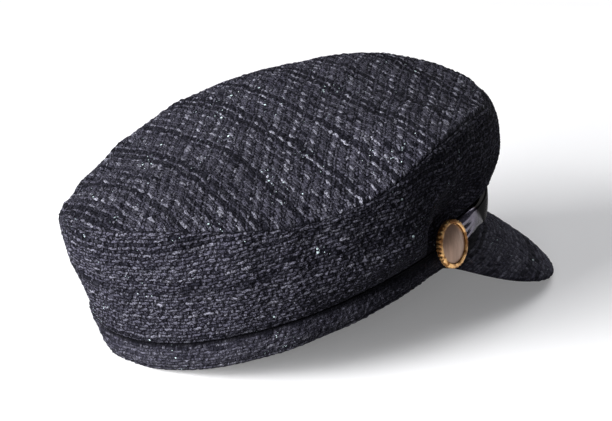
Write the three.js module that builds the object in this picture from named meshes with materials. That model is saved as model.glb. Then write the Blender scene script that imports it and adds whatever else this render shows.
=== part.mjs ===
// A soft peaked cap in heavy tweed, with a glossy strap held by two metal buttons above the peak.
// Millimetres, +Z up. The peak points to -Y and the wearer's right is -X.
//
// Each piece is drawn on the plane in which the cap sits on a head. There an angle in degrees runs round
// the head from the front (0) by the wearer's right (90) to the back (180). The whole cap is then tipped
// back, so that it lies on the rear of its band and on the front edge of its peak, as on a table.
import * as THREE from 'three';

const GAP = 0.3;
const CLOTH = 2.2;
const ROUND_STEPS = 72;

// The tip of the resting cap, and how far its cloth flattens where it lies on the table
const REST = { tip: 11.4, press: 1.2 };

const BAND = { thickness: 3, taper: 2.6, rounding: 0.6 };

// Parts of the side wall's height at which the section table gives its swell
const SWELL = { bellyAt: 0.3, shoulderAt: 0.7 };

const TOP = { dome: 13, domePower: 2.6, rimPower: 1.5, middleHeight: 64, middleForward: 17 };

const PEAK = {
  halfAngle: 55.3,
  depth: 44.8,
  endDepth: 1.5,
  sidePower: 2.35,
  frontPower: 2.2,
  fan: 0.13,
  slope: 0.671,
  curl: 0.0086,
  sideDroop: -0.13,
  rootThickness: 3.4,
  edgeThickness: 2.4,
  endThinning: 0.4,
};

const STRAP = {
  width: 12.4,
  thickness: 2,
  height: 15,
  waistDepth: 2.8,
  waistAt: 27,
  waistReach: 10,
  frontStandOff: 4.8,
  hugPower: 1.6,
  endThickness: 1.4,
  endStandOff: 0.4,
  bevel: 0.7,
  ridge: 0.2,
  gather: 0.6,
  gatherReach: 17,
  endToButton: 4.6,
};

// The strap's end lies under the front half of each button, so the button faces further back than the band
const BUTTON = {
  angle: 60,
  facing: 68,
  height: 14.9,
  radius: 11.8,
  standOff: 3.2,
  lookUp: 9,
  teeth: 32,
  toothDepth: 0.8,
  faceRadius: 9.3,
  shankRadius: 2.6,
  shankLength: 2.4,
  backBevel: 1.6,
  lipWidth: 0.7,
};

// How the cloth behind the strap and the buttons is pressed in. The slopes say how fast it swells out again.
const PRESS = {
  behindStrap: 1.2,
  slopeOverStrap: 1.1,
  slopePastStrap: 0.7,
  behindButton: 3,
  buttonMargin: 2,
  slopePastButton: 0.8,
};

const COLOURS = { tweed: 0x35353d, patent: 0x14151b, gold: 0xb98a3c, enamel: 0x6d5c50 };

// Sections round the cap. band: radius of the band's outer face. low: height of the band's lower edge.
// tall: the band's height. seam, rise: radius and height of the seam round the top panel.
// belly, shoulder: how far the side wall swells at the two heights that SWELL gives.
const SECTION_COLUMNS = ['angle', 'band', 'low', 'tall', 'seam', 'rise', 'belly', 'shoulder'];
const SECTIONS = [
  [0.0, 104.5, -6.5, 12.5, 120.5, 58.5, 7.5, 8.5],
  [22.5, 98.5, -4.5, 12.5, 112.5, 60.5, 7.0, 8.0],
  [45.0, 89.0, 0.0, 12.5, 100.0, 71.5, 6.5, 6.0],
  [67.5, 84.5, 4.5, 13.0, 97.0, 76.0, 6.0, 3.5],
  [90.0, 86.0, 6.5, 14.0, 95.5, 70.0, 4.5, 2.5],
  [112.5, 89.0, 4.5, 14.5, 95.0, 67.5, 2.5, 2.0],
  [135.0, 93.0, 0.0, 15.5, 97.0, 71.5, 1.5, 1.5],
  [157.5, 98.0, -4.5, 16.0, 103.0, 74.0, 0.5, 1.5],
  [180.0, 101.5, -6.5, 16.0, 107.0, 68.0, 0.0, 1.5],
  [202.5, 98.0, -4.5, 16.0, 103.5, 57.5, 0.5, 1.5],
  [225.0, 93.0, 0.0, 15.5, 98.0, 51.5, 1.0, 1.0],
  [247.5, 89.0, 4.5, 14.5, 96.0, 52.5, 2.0, 1.5],
  [270.0, 86.0, 6.5, 14.0, 97.5, 57.0, 3.5, 2.5],
  [292.5, 84.5, 4.5, 13.0, 99.5, 60.7, 5.0, 4.0],
  [315.0, 89.0, 0.0, 12.5, 104.5, 63.0, 6.0, 6.0],
  [337.5, 98.5, -4.5, 12.5, 115.5, 63.0, 7.0, 8.0],
];

// Dents and folds of the side wall. height: part of the wall's height. push: outwards if positive.
const FOLD_COLUMNS = ['angle', 'height', 'halfAngle', 'halfHeight', 'push'];
const FOLDS = [
  [141, 0.86, 4.5, 0.1, -2.4],
  [132, 0.86, 5.0, 0.12, 1.6],
  [112, 0.62, 4.5, 0.32, -1.6],
  [88, 0.3, 13.0, 0.17, 2.8],
  [158, 0.55, 7.0, 0.3, -1.2],
  [186, 0.5, 6.0, 0.4, 1.0],
  [214, 0.45, 7.0, 0.4, -1.4],
  [262, 0.6, 7.0, 0.3, -1.8],
  [285, 0.35, 8.0, 0.2, 1.4],
];

// Parts of the side wall's height at which it has a ring of points, from the band to the seam
const WALL_STEPS = [0, 0.07, 0.14, 0.22, 0.31, 0.42, 0.54, 0.66, 0.77, 0.87, 0.95, 1];
const WALL_INSIDE_STEPS = [1, 0.87, 0.77, 0.66, 0.54, 0.42, 0.31, 0.22, 0.14, 0.07, 0];
const TOP_STEPS = [0.1, 0.28, 0.46, 0.63, 0.78, 0.9, 0.97, 1];
const TOP_INSIDE_STEPS = [1, 0.9, 0.7, 0.45, 0.2];
const PEAK_STEPS = [0.06, 0.2, 0.38, 0.56, 0.74, 0.9, 0.98];
const PEAK_SECTIONS = 40;
const STRAP_SECTIONS = 44;

const radians = THREE.MathUtils.degToRad;
const lerp = THREE.MathUtils.lerp;

function named(columns, rows) {
  return rows.map((row) => Object.fromEntries(columns.map((column, index) => [column, row[index]])));
}

const sections = named(SECTION_COLUMNS, SECTIONS);
const folds = named(FOLD_COLUMNS, FOLDS);

// A column of the section table at any angle, as a smooth curve that closes round the head
function section(column, angle) {
  const count = sections.length;
  const place = (((angle % 360) + 360) % 360) / (360 / count);
  const start = Math.floor(place);
  const part = place - start;
  const value = (step) => sections[(start + step + count) % count][column];
  const [before, here, next, after] = [value(-1), value(0), value(1), value(2)];
  const bend = 2 * before - 5 * here + 4 * next - after;
  const twist = 3 * (here - next) + after - before;
  return here + 0.5 * part * (next - before + part * (bend + part * twist));
}

function around(angle, radius, height) {
  return new THREE.Vector3(-radius * Math.sin(radians(angle)), -radius * Math.cos(radians(angle)), height);
}

function angleBetween(first, second) {
  return ((first - second + 540) % 360) - 180;
}

// The direction that the band's outer face looks in at an angle
function bandNormal(angle) {
  const reach = 5;
  const before = around(angle - reach, section('band', angle - reach), 0);
  const after = around(angle + reach, section('band', angle + reach), 0);
  return new THREE.Vector3(before.y - after.y, after.x - before.x, 0).normalize();
}

function strapStandOff(angle) {
  const share = Math.max(0, 1 - (angle / BUTTON.angle) ** 2) ** STRAP.hugPower;
  return lerp(STRAP.endStandOff, STRAP.frontStandOff, share);
}

// The strap and the buttons press the cloth in behind them: the largest radius that they leave the wall
function pressedRadius(angle, height) {
  const side = angleBetween(angle, 0);
  const band = section('band', angle);
  const above = height - section('low', angle);
  const pastButton = radians(Math.abs(side) - BUTTON.angle) * band;
  const overStrap = PRESS.slopeOverStrap * Math.max(0, above - STRAP.height - STRAP.width / 2);
  const pastStrap = PRESS.slopePastStrap * Math.max(0, pastButton);
  const strapLimit = strapStandOff(side) - PRESS.behindStrap + overStrap + pastStrap;
  const up = above - BUTTON.height;
  const outside = Math.max(0, Math.hypot(pastButton, up) - BUTTON.radius - PRESS.buttonMargin);
  const lean = up * Math.tan(radians(BUTTON.lookUp));
  const buttonLimit = BUTTON.standOff - PRESS.behindButton - lean + PRESS.slopePastButton * outside;
  return band + Math.min(strapLimit, buttonLimit);
}

// How far the side wall swells beyond the straight line from its foot to its seam
function swellAt(angle, step) {
  const belly = section('belly', angle) * (SWELL.shoulderAt - step);
  const shoulder = section('shoulder', angle) * (step - SWELL.bellyAt);
  const scale = SWELL.bellyAt * SWELL.shoulderAt * (SWELL.shoulderAt - SWELL.bellyAt);
  return (step * (1 - step) * (belly + shoulder)) / scale;
}

// Outer face of the side wall: step 0 is its lower edge on the band, step 1 the seam of the top panel
function wallPoint(angle, step) {
  const at = (column) => section(column, angle);
  const foot = at('low') + at('tall') + GAP;
  const height = lerp(foot, at('rise'), step);
  let radius = lerp(at('band'), at('seam'), step) + swellAt(angle, step);
  for (const fold of folds) {
    const sideways = angleBetween(angle, fold.angle) / fold.halfAngle;
    const upwards = (step - fold.height) / fold.halfHeight;
    radius += fold.push * Math.exp(-(sideways ** 2) - upwards ** 2);
  }
  return around(angle, Math.min(radius, pressedRadius(angle, height)), height);
}

// Inner face of the side wall, a cloth's thickness in from the outer one
function wallInside(angle, step) {
  const outer = wallPoint(angle, step);
  const inwards = new THREE.Vector3(-outer.x, -outer.y, 0).normalize();
  if (step === 1) {
    return outer.addScaledVector(inwards, CLOTH).setZ(outer.z - CLOTH);
  }
  const reach = 0.03;
  const above = wallPoint(angle, Math.min(1, step + reach));
  const below = wallPoint(angle, Math.max(0, step - reach));
  const rise = above.z - below.z;
  const run = Math.hypot(above.x, above.y) - Math.hypot(below.x, below.y);
  const slant = Math.hypot(rise, run);
  outer.addScaledVector(inwards, (CLOTH * rise) / slant);
  if (step > 0) {
    outer.z += (CLOTH * run) / slant;
  }
  return outer;
}

// Outer face of the top panel: step 1 is its edge on the seam, step 0 its middle
function topPoint(angle, step) {
  const edge = wallPoint(angle, 1);
  const lift = (edge.z - TOP.middleHeight) * step ** TOP.rimPower + TOP.dome * (1 - step ** TOP.domePower);
  const middle = new THREE.Vector3(0, -TOP.middleForward, 0);
  return middle.lerp(edge, step).setZ(TOP.middleHeight + lift + 1.5 * GAP);
}

function topInside(angle, step) {
  const outer = topPoint(angle, step);
  const edge = wallPoint(angle, 1);
  const inwards = new THREE.Vector3(-edge.x, -edge.y, 0).normalize();
  return outer.addScaledVector(inwards, CLOTH * step).setZ(outer.z - CLOTH);
}

function ring(pointAt) {
  return Array.from({ length: ROUND_STEPS }, (_, index) => pointAt((index * 360) / ROUND_STEPS));
}

// A closed body through loops of points: joined end to end, or with both ends closed by a fan
function loft(loops, endless) {
  const size = loops[0].length;
  const points = loops.flat();
  const faces = [];
  const spans = endless ? loops.length : loops.length - 1;
  for (let span = 0; span < spans; span += 1) {
    const here = span * size;
    const next = ((span + 1) % loops.length) * size;
    for (let index = 0; index < size; index += 1) {
      const after = (index + 1) % size;
      faces.push(here + index, here + after, next + after);
      faces.push(here + index, next + after, next + index);
    }
  }
  if (!endless) {
    closeEnd(points, faces, 0, size, true);
    closeEnd(points, faces, (loops.length - 1) * size, size, false);
  }
  return facingOut(points, faces);
}

function closeEnd(points, faces, first, size, reversed) {
  const middle = new THREE.Vector3();
  for (let index = 0; index < size; index += 1) {
    middle.addScaledVector(points[first + index], 1 / size);
  }
  const centre = points.push(middle) - 1;
  for (let index = 0; index < size; index += 1) {
    const after = (index + 1) % size;
    const pair = reversed ? [first + after, first + index] : [first + index, first + after];
    faces.push(centre, ...pair);
  }
}

// The geometry of a closed body, turned the right way round if its volume comes out negative
function facingOut(points, faces) {
  let volume = 0;
  const across = new THREE.Vector3();
  for (let face = 0; face < faces.length; face += 3) {
    const [a, b, c] = faces.slice(face, face + 3).map((index) => points[index]);
    volume += a.dot(across.crossVectors(b, c));
  }
  const ordered = volume > 0 ? faces : faces.slice().reverse();
  const geometry = new THREE.BufferGeometry();
  geometry.setAttribute('position', new THREE.Float32BufferAttribute(points.flatMap((p) => p.toArray()), 3));
  geometry.setIndex(ordered);
  geometry.computeVertexNormals();
  return geometry;
}

function crownTop() {
  const outer = TOP_STEPS.map((step) => ring((angle) => topPoint(angle, step)));
  const inner = TOP_INSIDE_STEPS.map((step) => ring((angle) => topInside(angle, step)));
  return loft([...outer, ...inner], false);
}

function crownSide() {
  const outer = WALL_STEPS.map((step) => ring((angle) => wallPoint(angle, step)));
  const inner = WALL_INSIDE_STEPS.map((step) => ring((angle) => wallInside(angle, step)));
  return loft([...outer, ...inner], true);
}

// The band: its outer face leans in a little towards the lower edge, over which the cloth is turned
function band() {
  const profile = named(['inset', 'step'], [
    [BAND.thickness, 1],
    [0, 1],
    [0, 0.6],
    [BAND.taper * 0.35, 0.3],
    [BAND.taper, 0.06],
    [BAND.taper + BAND.rounding, 0],
    [BAND.taper + BAND.thickness - BAND.rounding, 0],
    [BAND.taper + BAND.thickness, 0.3],
  ]);
  const loops = profile.map(({ inset, step }) => ring((angle) => {
    const height = section('low', angle) + section('tall', angle) * step;
    return around(angle, section('band', angle) - inset, height);
  }));
  return loft(loops, true);
}

// Middle face of the peak, a distance forward of the band at an angle
function peakMiddle(angle, distance, thinning) {
  const sunk = GAP + (PEAK.rootThickness * thinning) / 2;
  const start = around(angle, section('band', angle), section('low', angle) - sunk);
  const forward = new THREE.Vector3(-PEAK.fan * Math.sin(radians(angle)), -1, 0).normalize();
  const side = PEAK.sideDroop * (1 - Math.cos(radians(angle)));
  const drop = (PEAK.slope + side) * distance + PEAK.curl * distance ** 2;
  const steepness = Math.atan(PEAK.slope + side + 2 * PEAK.curl * distance);
  const point = start.addScaledVector(forward, distance).setZ(start.z - drop);
  const normal = forward.multiplyScalar(Math.sin(steepness)).setZ(Math.cos(steepness));
  return { point, normal };
}

function peakSection(angle) {
  const aside = Math.abs(angle / PEAK.halfAngle);
  const reach = Math.max(0, 1 - aside ** PEAK.sidePower) ** (1 / PEAK.frontPower);
  const depth = lerp(PEAK.endDepth, PEAK.depth, reach);
  const thinning = lerp(PEAK.endThinning, 1, reach);
  const face = (step, sign) => {
    const { point, normal } = peakMiddle(angle, depth * step, thinning);
    const thickness = lerp(PEAK.rootThickness, PEAK.edgeThickness, step) * thinning;
    return point.addScaledVector(normal, (sign * thickness) / 2);
  };
  const root = section('band', angle) - BAND.taper - BAND.thickness;
  const rootTop = section('low', angle) - GAP;
  const upper = PEAK_STEPS.map((step) => face(step, 1));
  const lower = PEAK_STEPS.map((step) => face(step, -1)).reverse();
  return [
    around(angle, root, rootTop),
    around(angle, root + BAND.thickness, rootTop),
    ...upper,
    peakMiddle(angle, depth, thinning).point,
    ...lower,
    around(angle, root, rootTop - PEAK.rootThickness * thinning),
  ];
}

function peak() {
  const loops = Array.from({ length: PEAK_SECTIONS + 1 }, (_, index) => {
    const across = (2 * index) / PEAK_SECTIONS - 1;
    return peakSection(PEAK.halfAngle * Math.sin((across * Math.PI) / 2));
  });
  return loft(loops, false);
}

// Cross-section of the strap. Its lower edge rises to a waist beside each button, and towards its ends
// its face gathers into ridges.
function strapSection(angle, endAngle) {
  const radius = section('band', angle);
  const toEnd = radians(endAngle - Math.abs(angle)) * radius;
  const gathered = Math.max(0, 1 - toEnd / STRAP.gatherReach);
  const waist = STRAP.waistDepth * Math.exp(-(((toEnd - STRAP.waistAt) / STRAP.waistReach) ** 2));
  const half = (STRAP.width - waist) / 2;
  const middle = section('low', angle) + STRAP.height + waist / 2;
  const inner = radius + strapStandOff(angle);
  const thickness = lerp(STRAP.thickness, STRAP.endThickness, gathered);
  const groove = thickness - STRAP.gather * gathered;
  const ridge = thickness + STRAP.ridge;
  const profile = named(['up', 'out'], [
    [-half, 0],
    [-half, thickness - STRAP.bevel],
    [-half + STRAP.bevel, thickness],
    [-0.45 * half, groove],
    [-0.2 * half, ridge],
    [0.1 * half, groove],
    [0.45 * half, ridge],
    [0.7 * half, groove],
    [half - STRAP.bevel / 2, thickness],
    [half, thickness - STRAP.bevel],
    [half, 0],
  ]);
  return profile.map(({ up, out }) => around(angle, inner + out, middle + up));
}

function strap() {
  const endAngle = BUTTON.angle - THREE.MathUtils.radToDeg(STRAP.endToButton / section('band', BUTTON.angle));
  const loops = Array.from({ length: STRAP_SECTIONS + 1 }, (_, index) => {
    const across = (2 * index) / STRAP_SECTIONS - 1;
    return strapSection(endAngle * Math.sin((across * Math.PI) / 2), endAngle);
  });
  return loft(loops, false);
}

// A body turned about Y from a profile whose rows give a radius and how far out it lies
function turned(profile, segments) {
  const rows = named(['radius', 'out'], profile);
  return new THREE.LatheGeometry(rows.map(({ radius, out }) => new THREE.Vector2(radius, out)), segments);
}

// A pressed metal cup with a toothed rim and a shank behind it
function buttonRim() {
  const recess = BUTTON.faceRadius + GAP;
  const profile = [
    [0, -BUTTON.shankLength],
    [BUTTON.shankRadius, -BUTTON.shankLength],
    [BUTTON.shankRadius, 0.3],
    [BUTTON.radius - BUTTON.backBevel, 0.3],
    [BUTTON.radius, 1.1],
    [BUTTON.radius, 2.8],
    [BUTTON.radius - BUTTON.lipWidth, 3.5],
    [recess + 0.3, 3.5],
    [recess, 2.9],
    [recess, 2.1],
    [0, 2.1],
  ];
  const segments = 2 * BUTTON.teeth;
  const geometry = turned(profile, segments);
  const position = geometry.attributes.position;
  for (let index = 0; index < position.count; index += 1) {
    const segment = Math.floor(index / profile.length) % segments;
    const reach = Math.hypot(position.getX(index), position.getZ(index));
    if (reach > BUTTON.radius - BUTTON.lipWidth / 2 && segment % 2 === 1) {
      const shrink = 1 - BUTTON.toothDepth / BUTTON.radius;
      position.setX(index, position.getX(index) * shrink);
      position.setZ(index, position.getZ(index) * shrink);
    }
  }
  geometry.computeVertexNormals();
  return geometry;
}

// The enamelled face that lies in the cup, slightly domed
function buttonFace() {
  const profile = [
    [0, 2.4],
    [BUTTON.faceRadius, 2.4],
    [BUTTON.faceRadius, 2.8],
    [BUTTON.faceRadius - 1, 3.3],
    [BUTTON.faceRadius * 0.5, 3.7],
    [0, 3.9],
  ];
  return turned(profile, BUTTON.teeth);
}

function piece(name, geometry, material) {
  const mesh = new THREE.Mesh(geometry, material);
  mesh.name = name;
  return mesh;
}

const tweed = new THREE.MeshStandardMaterial({ color: COLOURS.tweed, roughness: 0.95, metalness: 0 });
const patent = new THREE.MeshStandardMaterial({ color: COLOURS.patent, roughness: 0.2, metalness: 0 });
const gold = new THREE.MeshStandardMaterial({ color: COLOURS.gold, roughness: 0.3, metalness: 1 });
const enamel = new THREE.MeshStandardMaterial({ color: COLOURS.enamel, roughness: 0.35, metalness: 0 });

function button(side, angle) {
  const group = new THREE.Group();
  group.add(piece(`button_rim_${side}`, buttonRim(), gold));
  group.add(piece(`button_face_${side}`, buttonFace(), enamel));
  const facing = bandNormal(Math.sign(angle) * BUTTON.facing);
  facing.z = Math.tan(radians(BUTTON.lookUp));
  group.quaternion.setFromUnitVectors(new THREE.Vector3(0, 1, 0), facing.normalize());
  const height = section('low', angle) + BUTTON.height;
  group.position.copy(around(angle, section('band', angle) + BUTTON.standOff, height));
  return group;
}

// Sets the tipped cap down with the middle of its box over the origin, and flattens what would reach
// below the table
function setDown(cap) {
  cap.updateMatrixWorld(true);
  const box = new THREE.Box3().setFromObject(cap, true);
  const middle = box.getCenter(new THREE.Vector3());
  cap.position.set(-middle.x, -middle.y, -box.min.z - REST.press);
  cap.updateMatrixWorld(true);
  const point = new THREE.Vector3();
  cap.traverse((mesh) => {
    if (!mesh.isMesh) {
      return;
    }
    const position = mesh.geometry.attributes.position;
    for (let index = 0; index < position.count; index += 1) {
      mesh.localToWorld(point.fromBufferAttribute(position, index));
      if (point.z < 0) {
        mesh.worldToLocal(point.setZ(0));
        position.setXYZ(index, point.x, point.y, point.z);
      }
    }
  });
}

const cap = new THREE.Group();
cap.add(
  piece('crown_top', crownTop(), tweed),
  piece('crown_side', crownSide(), tweed),
  piece('band', band(), tweed),
  piece('peak', peak(), tweed),
  piece('strap', strap(), patent),
  button('right', BUTTON.angle),
  button('left', -BUTTON.angle),
);
cap.rotation.x = -radians(REST.tip);
setDown(cap);

const hat = new THREE.Group();
hat.add(cap);

export default hat;
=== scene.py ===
"""A soft peaked cap in heavy tweed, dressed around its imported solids.

The cap's own sizes are in millimetres, as on a sewing pattern, and its meshes are written in metres.
Each surface is drawn on the plane in which the cap sits on a head. There an angle in degrees runs round the
head from the front (0) by the wearer's right (90) to the back (180). Placement then tips the cap back, so
that it lies on the rear of its band and on the front edge of its peak.
"""

import logging
import math
from dataclasses import dataclass, field, replace
from enum import Enum
from typing import Callable, Sequence

import bpy
import numpy as np
from mathutils import Matrix, Vector


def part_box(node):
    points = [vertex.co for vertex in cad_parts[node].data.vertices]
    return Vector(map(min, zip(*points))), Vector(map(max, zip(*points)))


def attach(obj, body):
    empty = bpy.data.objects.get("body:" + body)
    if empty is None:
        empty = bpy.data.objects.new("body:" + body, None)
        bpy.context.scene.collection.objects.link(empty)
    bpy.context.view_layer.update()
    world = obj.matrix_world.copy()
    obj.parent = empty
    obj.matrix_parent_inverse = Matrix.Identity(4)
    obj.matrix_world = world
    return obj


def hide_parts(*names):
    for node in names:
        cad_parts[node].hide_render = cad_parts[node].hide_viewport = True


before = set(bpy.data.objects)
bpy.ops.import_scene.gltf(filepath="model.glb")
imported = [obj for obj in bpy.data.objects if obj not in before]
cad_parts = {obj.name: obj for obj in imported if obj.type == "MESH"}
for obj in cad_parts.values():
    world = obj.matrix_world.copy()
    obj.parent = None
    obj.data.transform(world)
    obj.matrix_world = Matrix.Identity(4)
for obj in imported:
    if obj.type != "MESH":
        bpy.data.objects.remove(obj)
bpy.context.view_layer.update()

MM = 0.001
TURN = 2.0 * math.pi
PHOTO_WIDTH, PHOTO_HEIGHT = 612, 421

Array = np.ndarray
logger = logging.getLogger("cap")


class Slot(Enum):
    """The record's material slots."""

    TWEED = "tweed"
    PATENT = "patent"
    GOLD = "gold"
    ENAMEL = "enamel"


class Side(Enum):
    """The wearer's sides, with the sign of their angles."""

    RIGHT = 1
    LEFT = -1


# The cap's shape has the same driving sizes as the solids, in millimetres
SECTION_COLUMNS = ("angle", "band", "low", "tall", "seam", "rise", "belly", "shoulder")
SECTIONS = (
    (0.0, 104.5, -6.5, 12.5, 120.5, 58.5, 7.5, 8.5),
    (22.5, 98.5, -4.5, 12.5, 112.5, 60.5, 7.0, 8.0),
    (45.0, 89.0, 0.0, 12.5, 100.0, 71.5, 6.5, 6.0),
    (67.5, 84.5, 4.5, 13.0, 97.0, 76.0, 6.0, 3.5),
    (90.0, 86.0, 6.5, 14.0, 95.5, 70.0, 4.5, 2.5),
    (112.5, 89.0, 4.5, 14.5, 95.0, 67.5, 2.5, 2.0),
    (135.0, 93.0, 0.0, 15.5, 97.0, 71.5, 1.5, 1.5),
    (157.5, 98.0, -4.5, 16.0, 103.0, 74.0, 0.5, 1.5),
    (180.0, 101.5, -6.5, 16.0, 107.0, 68.0, 0.0, 1.5),
    (202.5, 98.0, -4.5, 16.0, 103.5, 57.5, 0.5, 1.5),
    (225.0, 93.0, 0.0, 15.5, 98.0, 51.5, 1.0, 1.0),
    (247.5, 89.0, 4.5, 14.5, 96.0, 52.5, 2.0, 1.5),
    (270.0, 86.0, 6.5, 14.0, 97.5, 57.0, 3.5, 2.5),
    (292.5, 84.5, 4.5, 13.0, 99.5, 60.7, 5.0, 4.0),
    (315.0, 89.0, 0.0, 12.5, 104.5, 63.0, 6.0, 6.0),
    (337.5, 98.5, -4.5, 12.5, 115.5, 63.0, 7.0, 8.0),
)


@dataclass(frozen=True)
class Fold:
    """A soft fold of the side wall, at a part of its height. A push below 0 makes it a dent."""

    angle: float
    height: float
    half_angle: float
    half_height: float
    push: float


FOLDS = (
    Fold(141, 0.86, 4.5, 0.1, -2.4),
    Fold(132, 0.86, 5.0, 0.12, 1.6),
    Fold(112, 0.62, 4.5, 0.32, -1.6),
    Fold(88, 0.3, 13.0, 0.17, 2.8),
    Fold(158, 0.55, 7.0, 0.3, -1.2),
    Fold(186, 0.5, 6.0, 0.4, 1.0),
    Fold(214, 0.45, 7.0, 0.4, -1.4),
    Fold(262, 0.6, 7.0, 0.3, -1.8),
    Fold(285, 0.35, 8.0, 0.2, 1.4),
)

# Where the solid of the side wall has its rows of points, and how many columns it has
SOLID_STEPS = (0.0, 0.14, 0.31, 0.54, 0.77, 1.0)
SOLID_COLUMNS = 72
# How many places on a ring are measured when points are spread evenly along it
RING_SAMPLES = 1441


@dataclass(frozen=True)
class CrownSizes:
    """Sizes of the crown's cloth."""

    gap: float = 0.3
    cloth: float = 2.2
    belly_at: float = 0.3
    shoulder_at: float = 0.7
    top_gaps: float = 1.5
    dome: float = 13.0
    dome_power: float = 2.6
    rim_power: float = 1.5
    middle_height: float = 64.0
    middle_forward: float = 17.0
    seam_width: float = 2.4
    seam_sink: float = 1.2
    seam_tuck: float = 0.9
    # Painted shade in the top seam
    seam_painted_shade: float = 0.45
    # Painted shadow in the groove over the band, and how fast it fades
    foot_painted_shadow: float = 0.95
    foot_painted_shadow_power: float = 1.2
    groove_angle: float = 76.0
    groove_spread: float = 24.0
    groove_growth: float = 3.2
    groove_depth: float = 1.8
    grain_turn: float = 6.5


@dataclass(frozen=True)
class BandSizes:
    """Sizes of the headband."""

    thickness: float = 3.0
    taper: float = 2.6
    turn_height: float = 1.8
    turn_in: float = 1.2
    straight_part: float = 0.6
    lean_power: float = 1.6
    hem_height: float = 2.8
    hem_depth: float = 0.45
    hem_width: float = 0.45
    # Painted shade in the hem groove
    hem_painted_shade: float = 0.5
    hem_still: float = 0.6
    # The deepest painted shade, and how fast the painted shadow under the wall's foot grows
    deepest_painted_shade: float = 0.95
    shadow_growth: float = 1.25
    lip_height: float = 1.2
    lip_thickness: float = 0.5


@dataclass(frozen=True)
class PeakSizes:
    """Sizes of the peak."""

    half_angle: float = 55.3
    depth: float = 44.8
    end_depth: float = 1.5
    side_power: float = 2.35
    front_power: float = 2.2
    fan: float = 0.13
    slope: float = 0.671
    curl: float = 0.0086
    side_droop: float = -0.13
    root_thickness: float = 3.4
    edge_thickness: float = 2.4
    end_thinning: float = 0.4
    lip_height: float = 1.2
    lip_thickness: float = 0.5


@dataclass(frozen=True)
class StrapSizes:
    """Sizes of the glossy strap."""

    width: float = 12.4
    thickness: float = 2.0
    height: float = 15.0
    waist_depth: float = 2.8
    waist_at: float = 27.0
    waist_reach: float = 10.0
    front_stand_off: float = 4.8
    hug_power: float = 1.6
    end_thickness: float = 1.4
    end_stand_off: float = 0.4
    end_to_button: float = 4.6
    behind: float = 1.2
    slope_over: float = 1.1
    slope_past: float = 0.7


@dataclass(frozen=True)
class ButtonSizes:
    """Sizes of a button, with the distances out from its back along its axis."""

    angle: float = 60.0
    facing: float = 68.0
    height: float = 14.9
    radius: float = 11.8
    stand_off: float = 3.2
    look_up: float = 9.0
    teeth: int = 32
    tooth_depth: float = 0.8
    face_radius: float = 9.3
    face_gap: float = 0.3
    shank_radius: float = 2.6
    shank_length: float = 2.4
    back_out: float = 0.3
    side_out: float = 1.1
    lip_out: float = 3.5
    floor_out: float = 2.1
    behind: float = 3.0
    margin: float = 2.0
    slope_past: float = 0.8


def around(angle: Array, radius: Array, height: Array) -> Array:
    """Points at an angle round the head, a radius from its middle and a height.

    Args:
        angle: Angles round the head in degrees.
        radius: Distances from the middle of the head.
        height: Heights.

    Returns:
        The points.
    """
    turn = np.radians(angle)
    parts = np.broadcast_arrays(-radius * np.sin(turn), -radius * np.cos(turn), height)
    return np.stack(parts, axis=-1)


def outwards(angle: Array, distance: "Array | float") -> Array:
    """Level moves out from the middle of the head."""
    return around(angle, distance, 0.0)


def signed(angle: Array) -> Array:
    """Angles brought between -180 and 180 degrees."""
    return np.mod(angle + 180.0, 360.0) - 180.0


def tuck(distance: Array, width: "float | Array") -> Array:
    """How far cloth has turned into a seam: 1 at the seam, 0 from a width away."""
    return np.clip(1.0 - distance / width, 0.0, 1.0) ** 2


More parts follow.
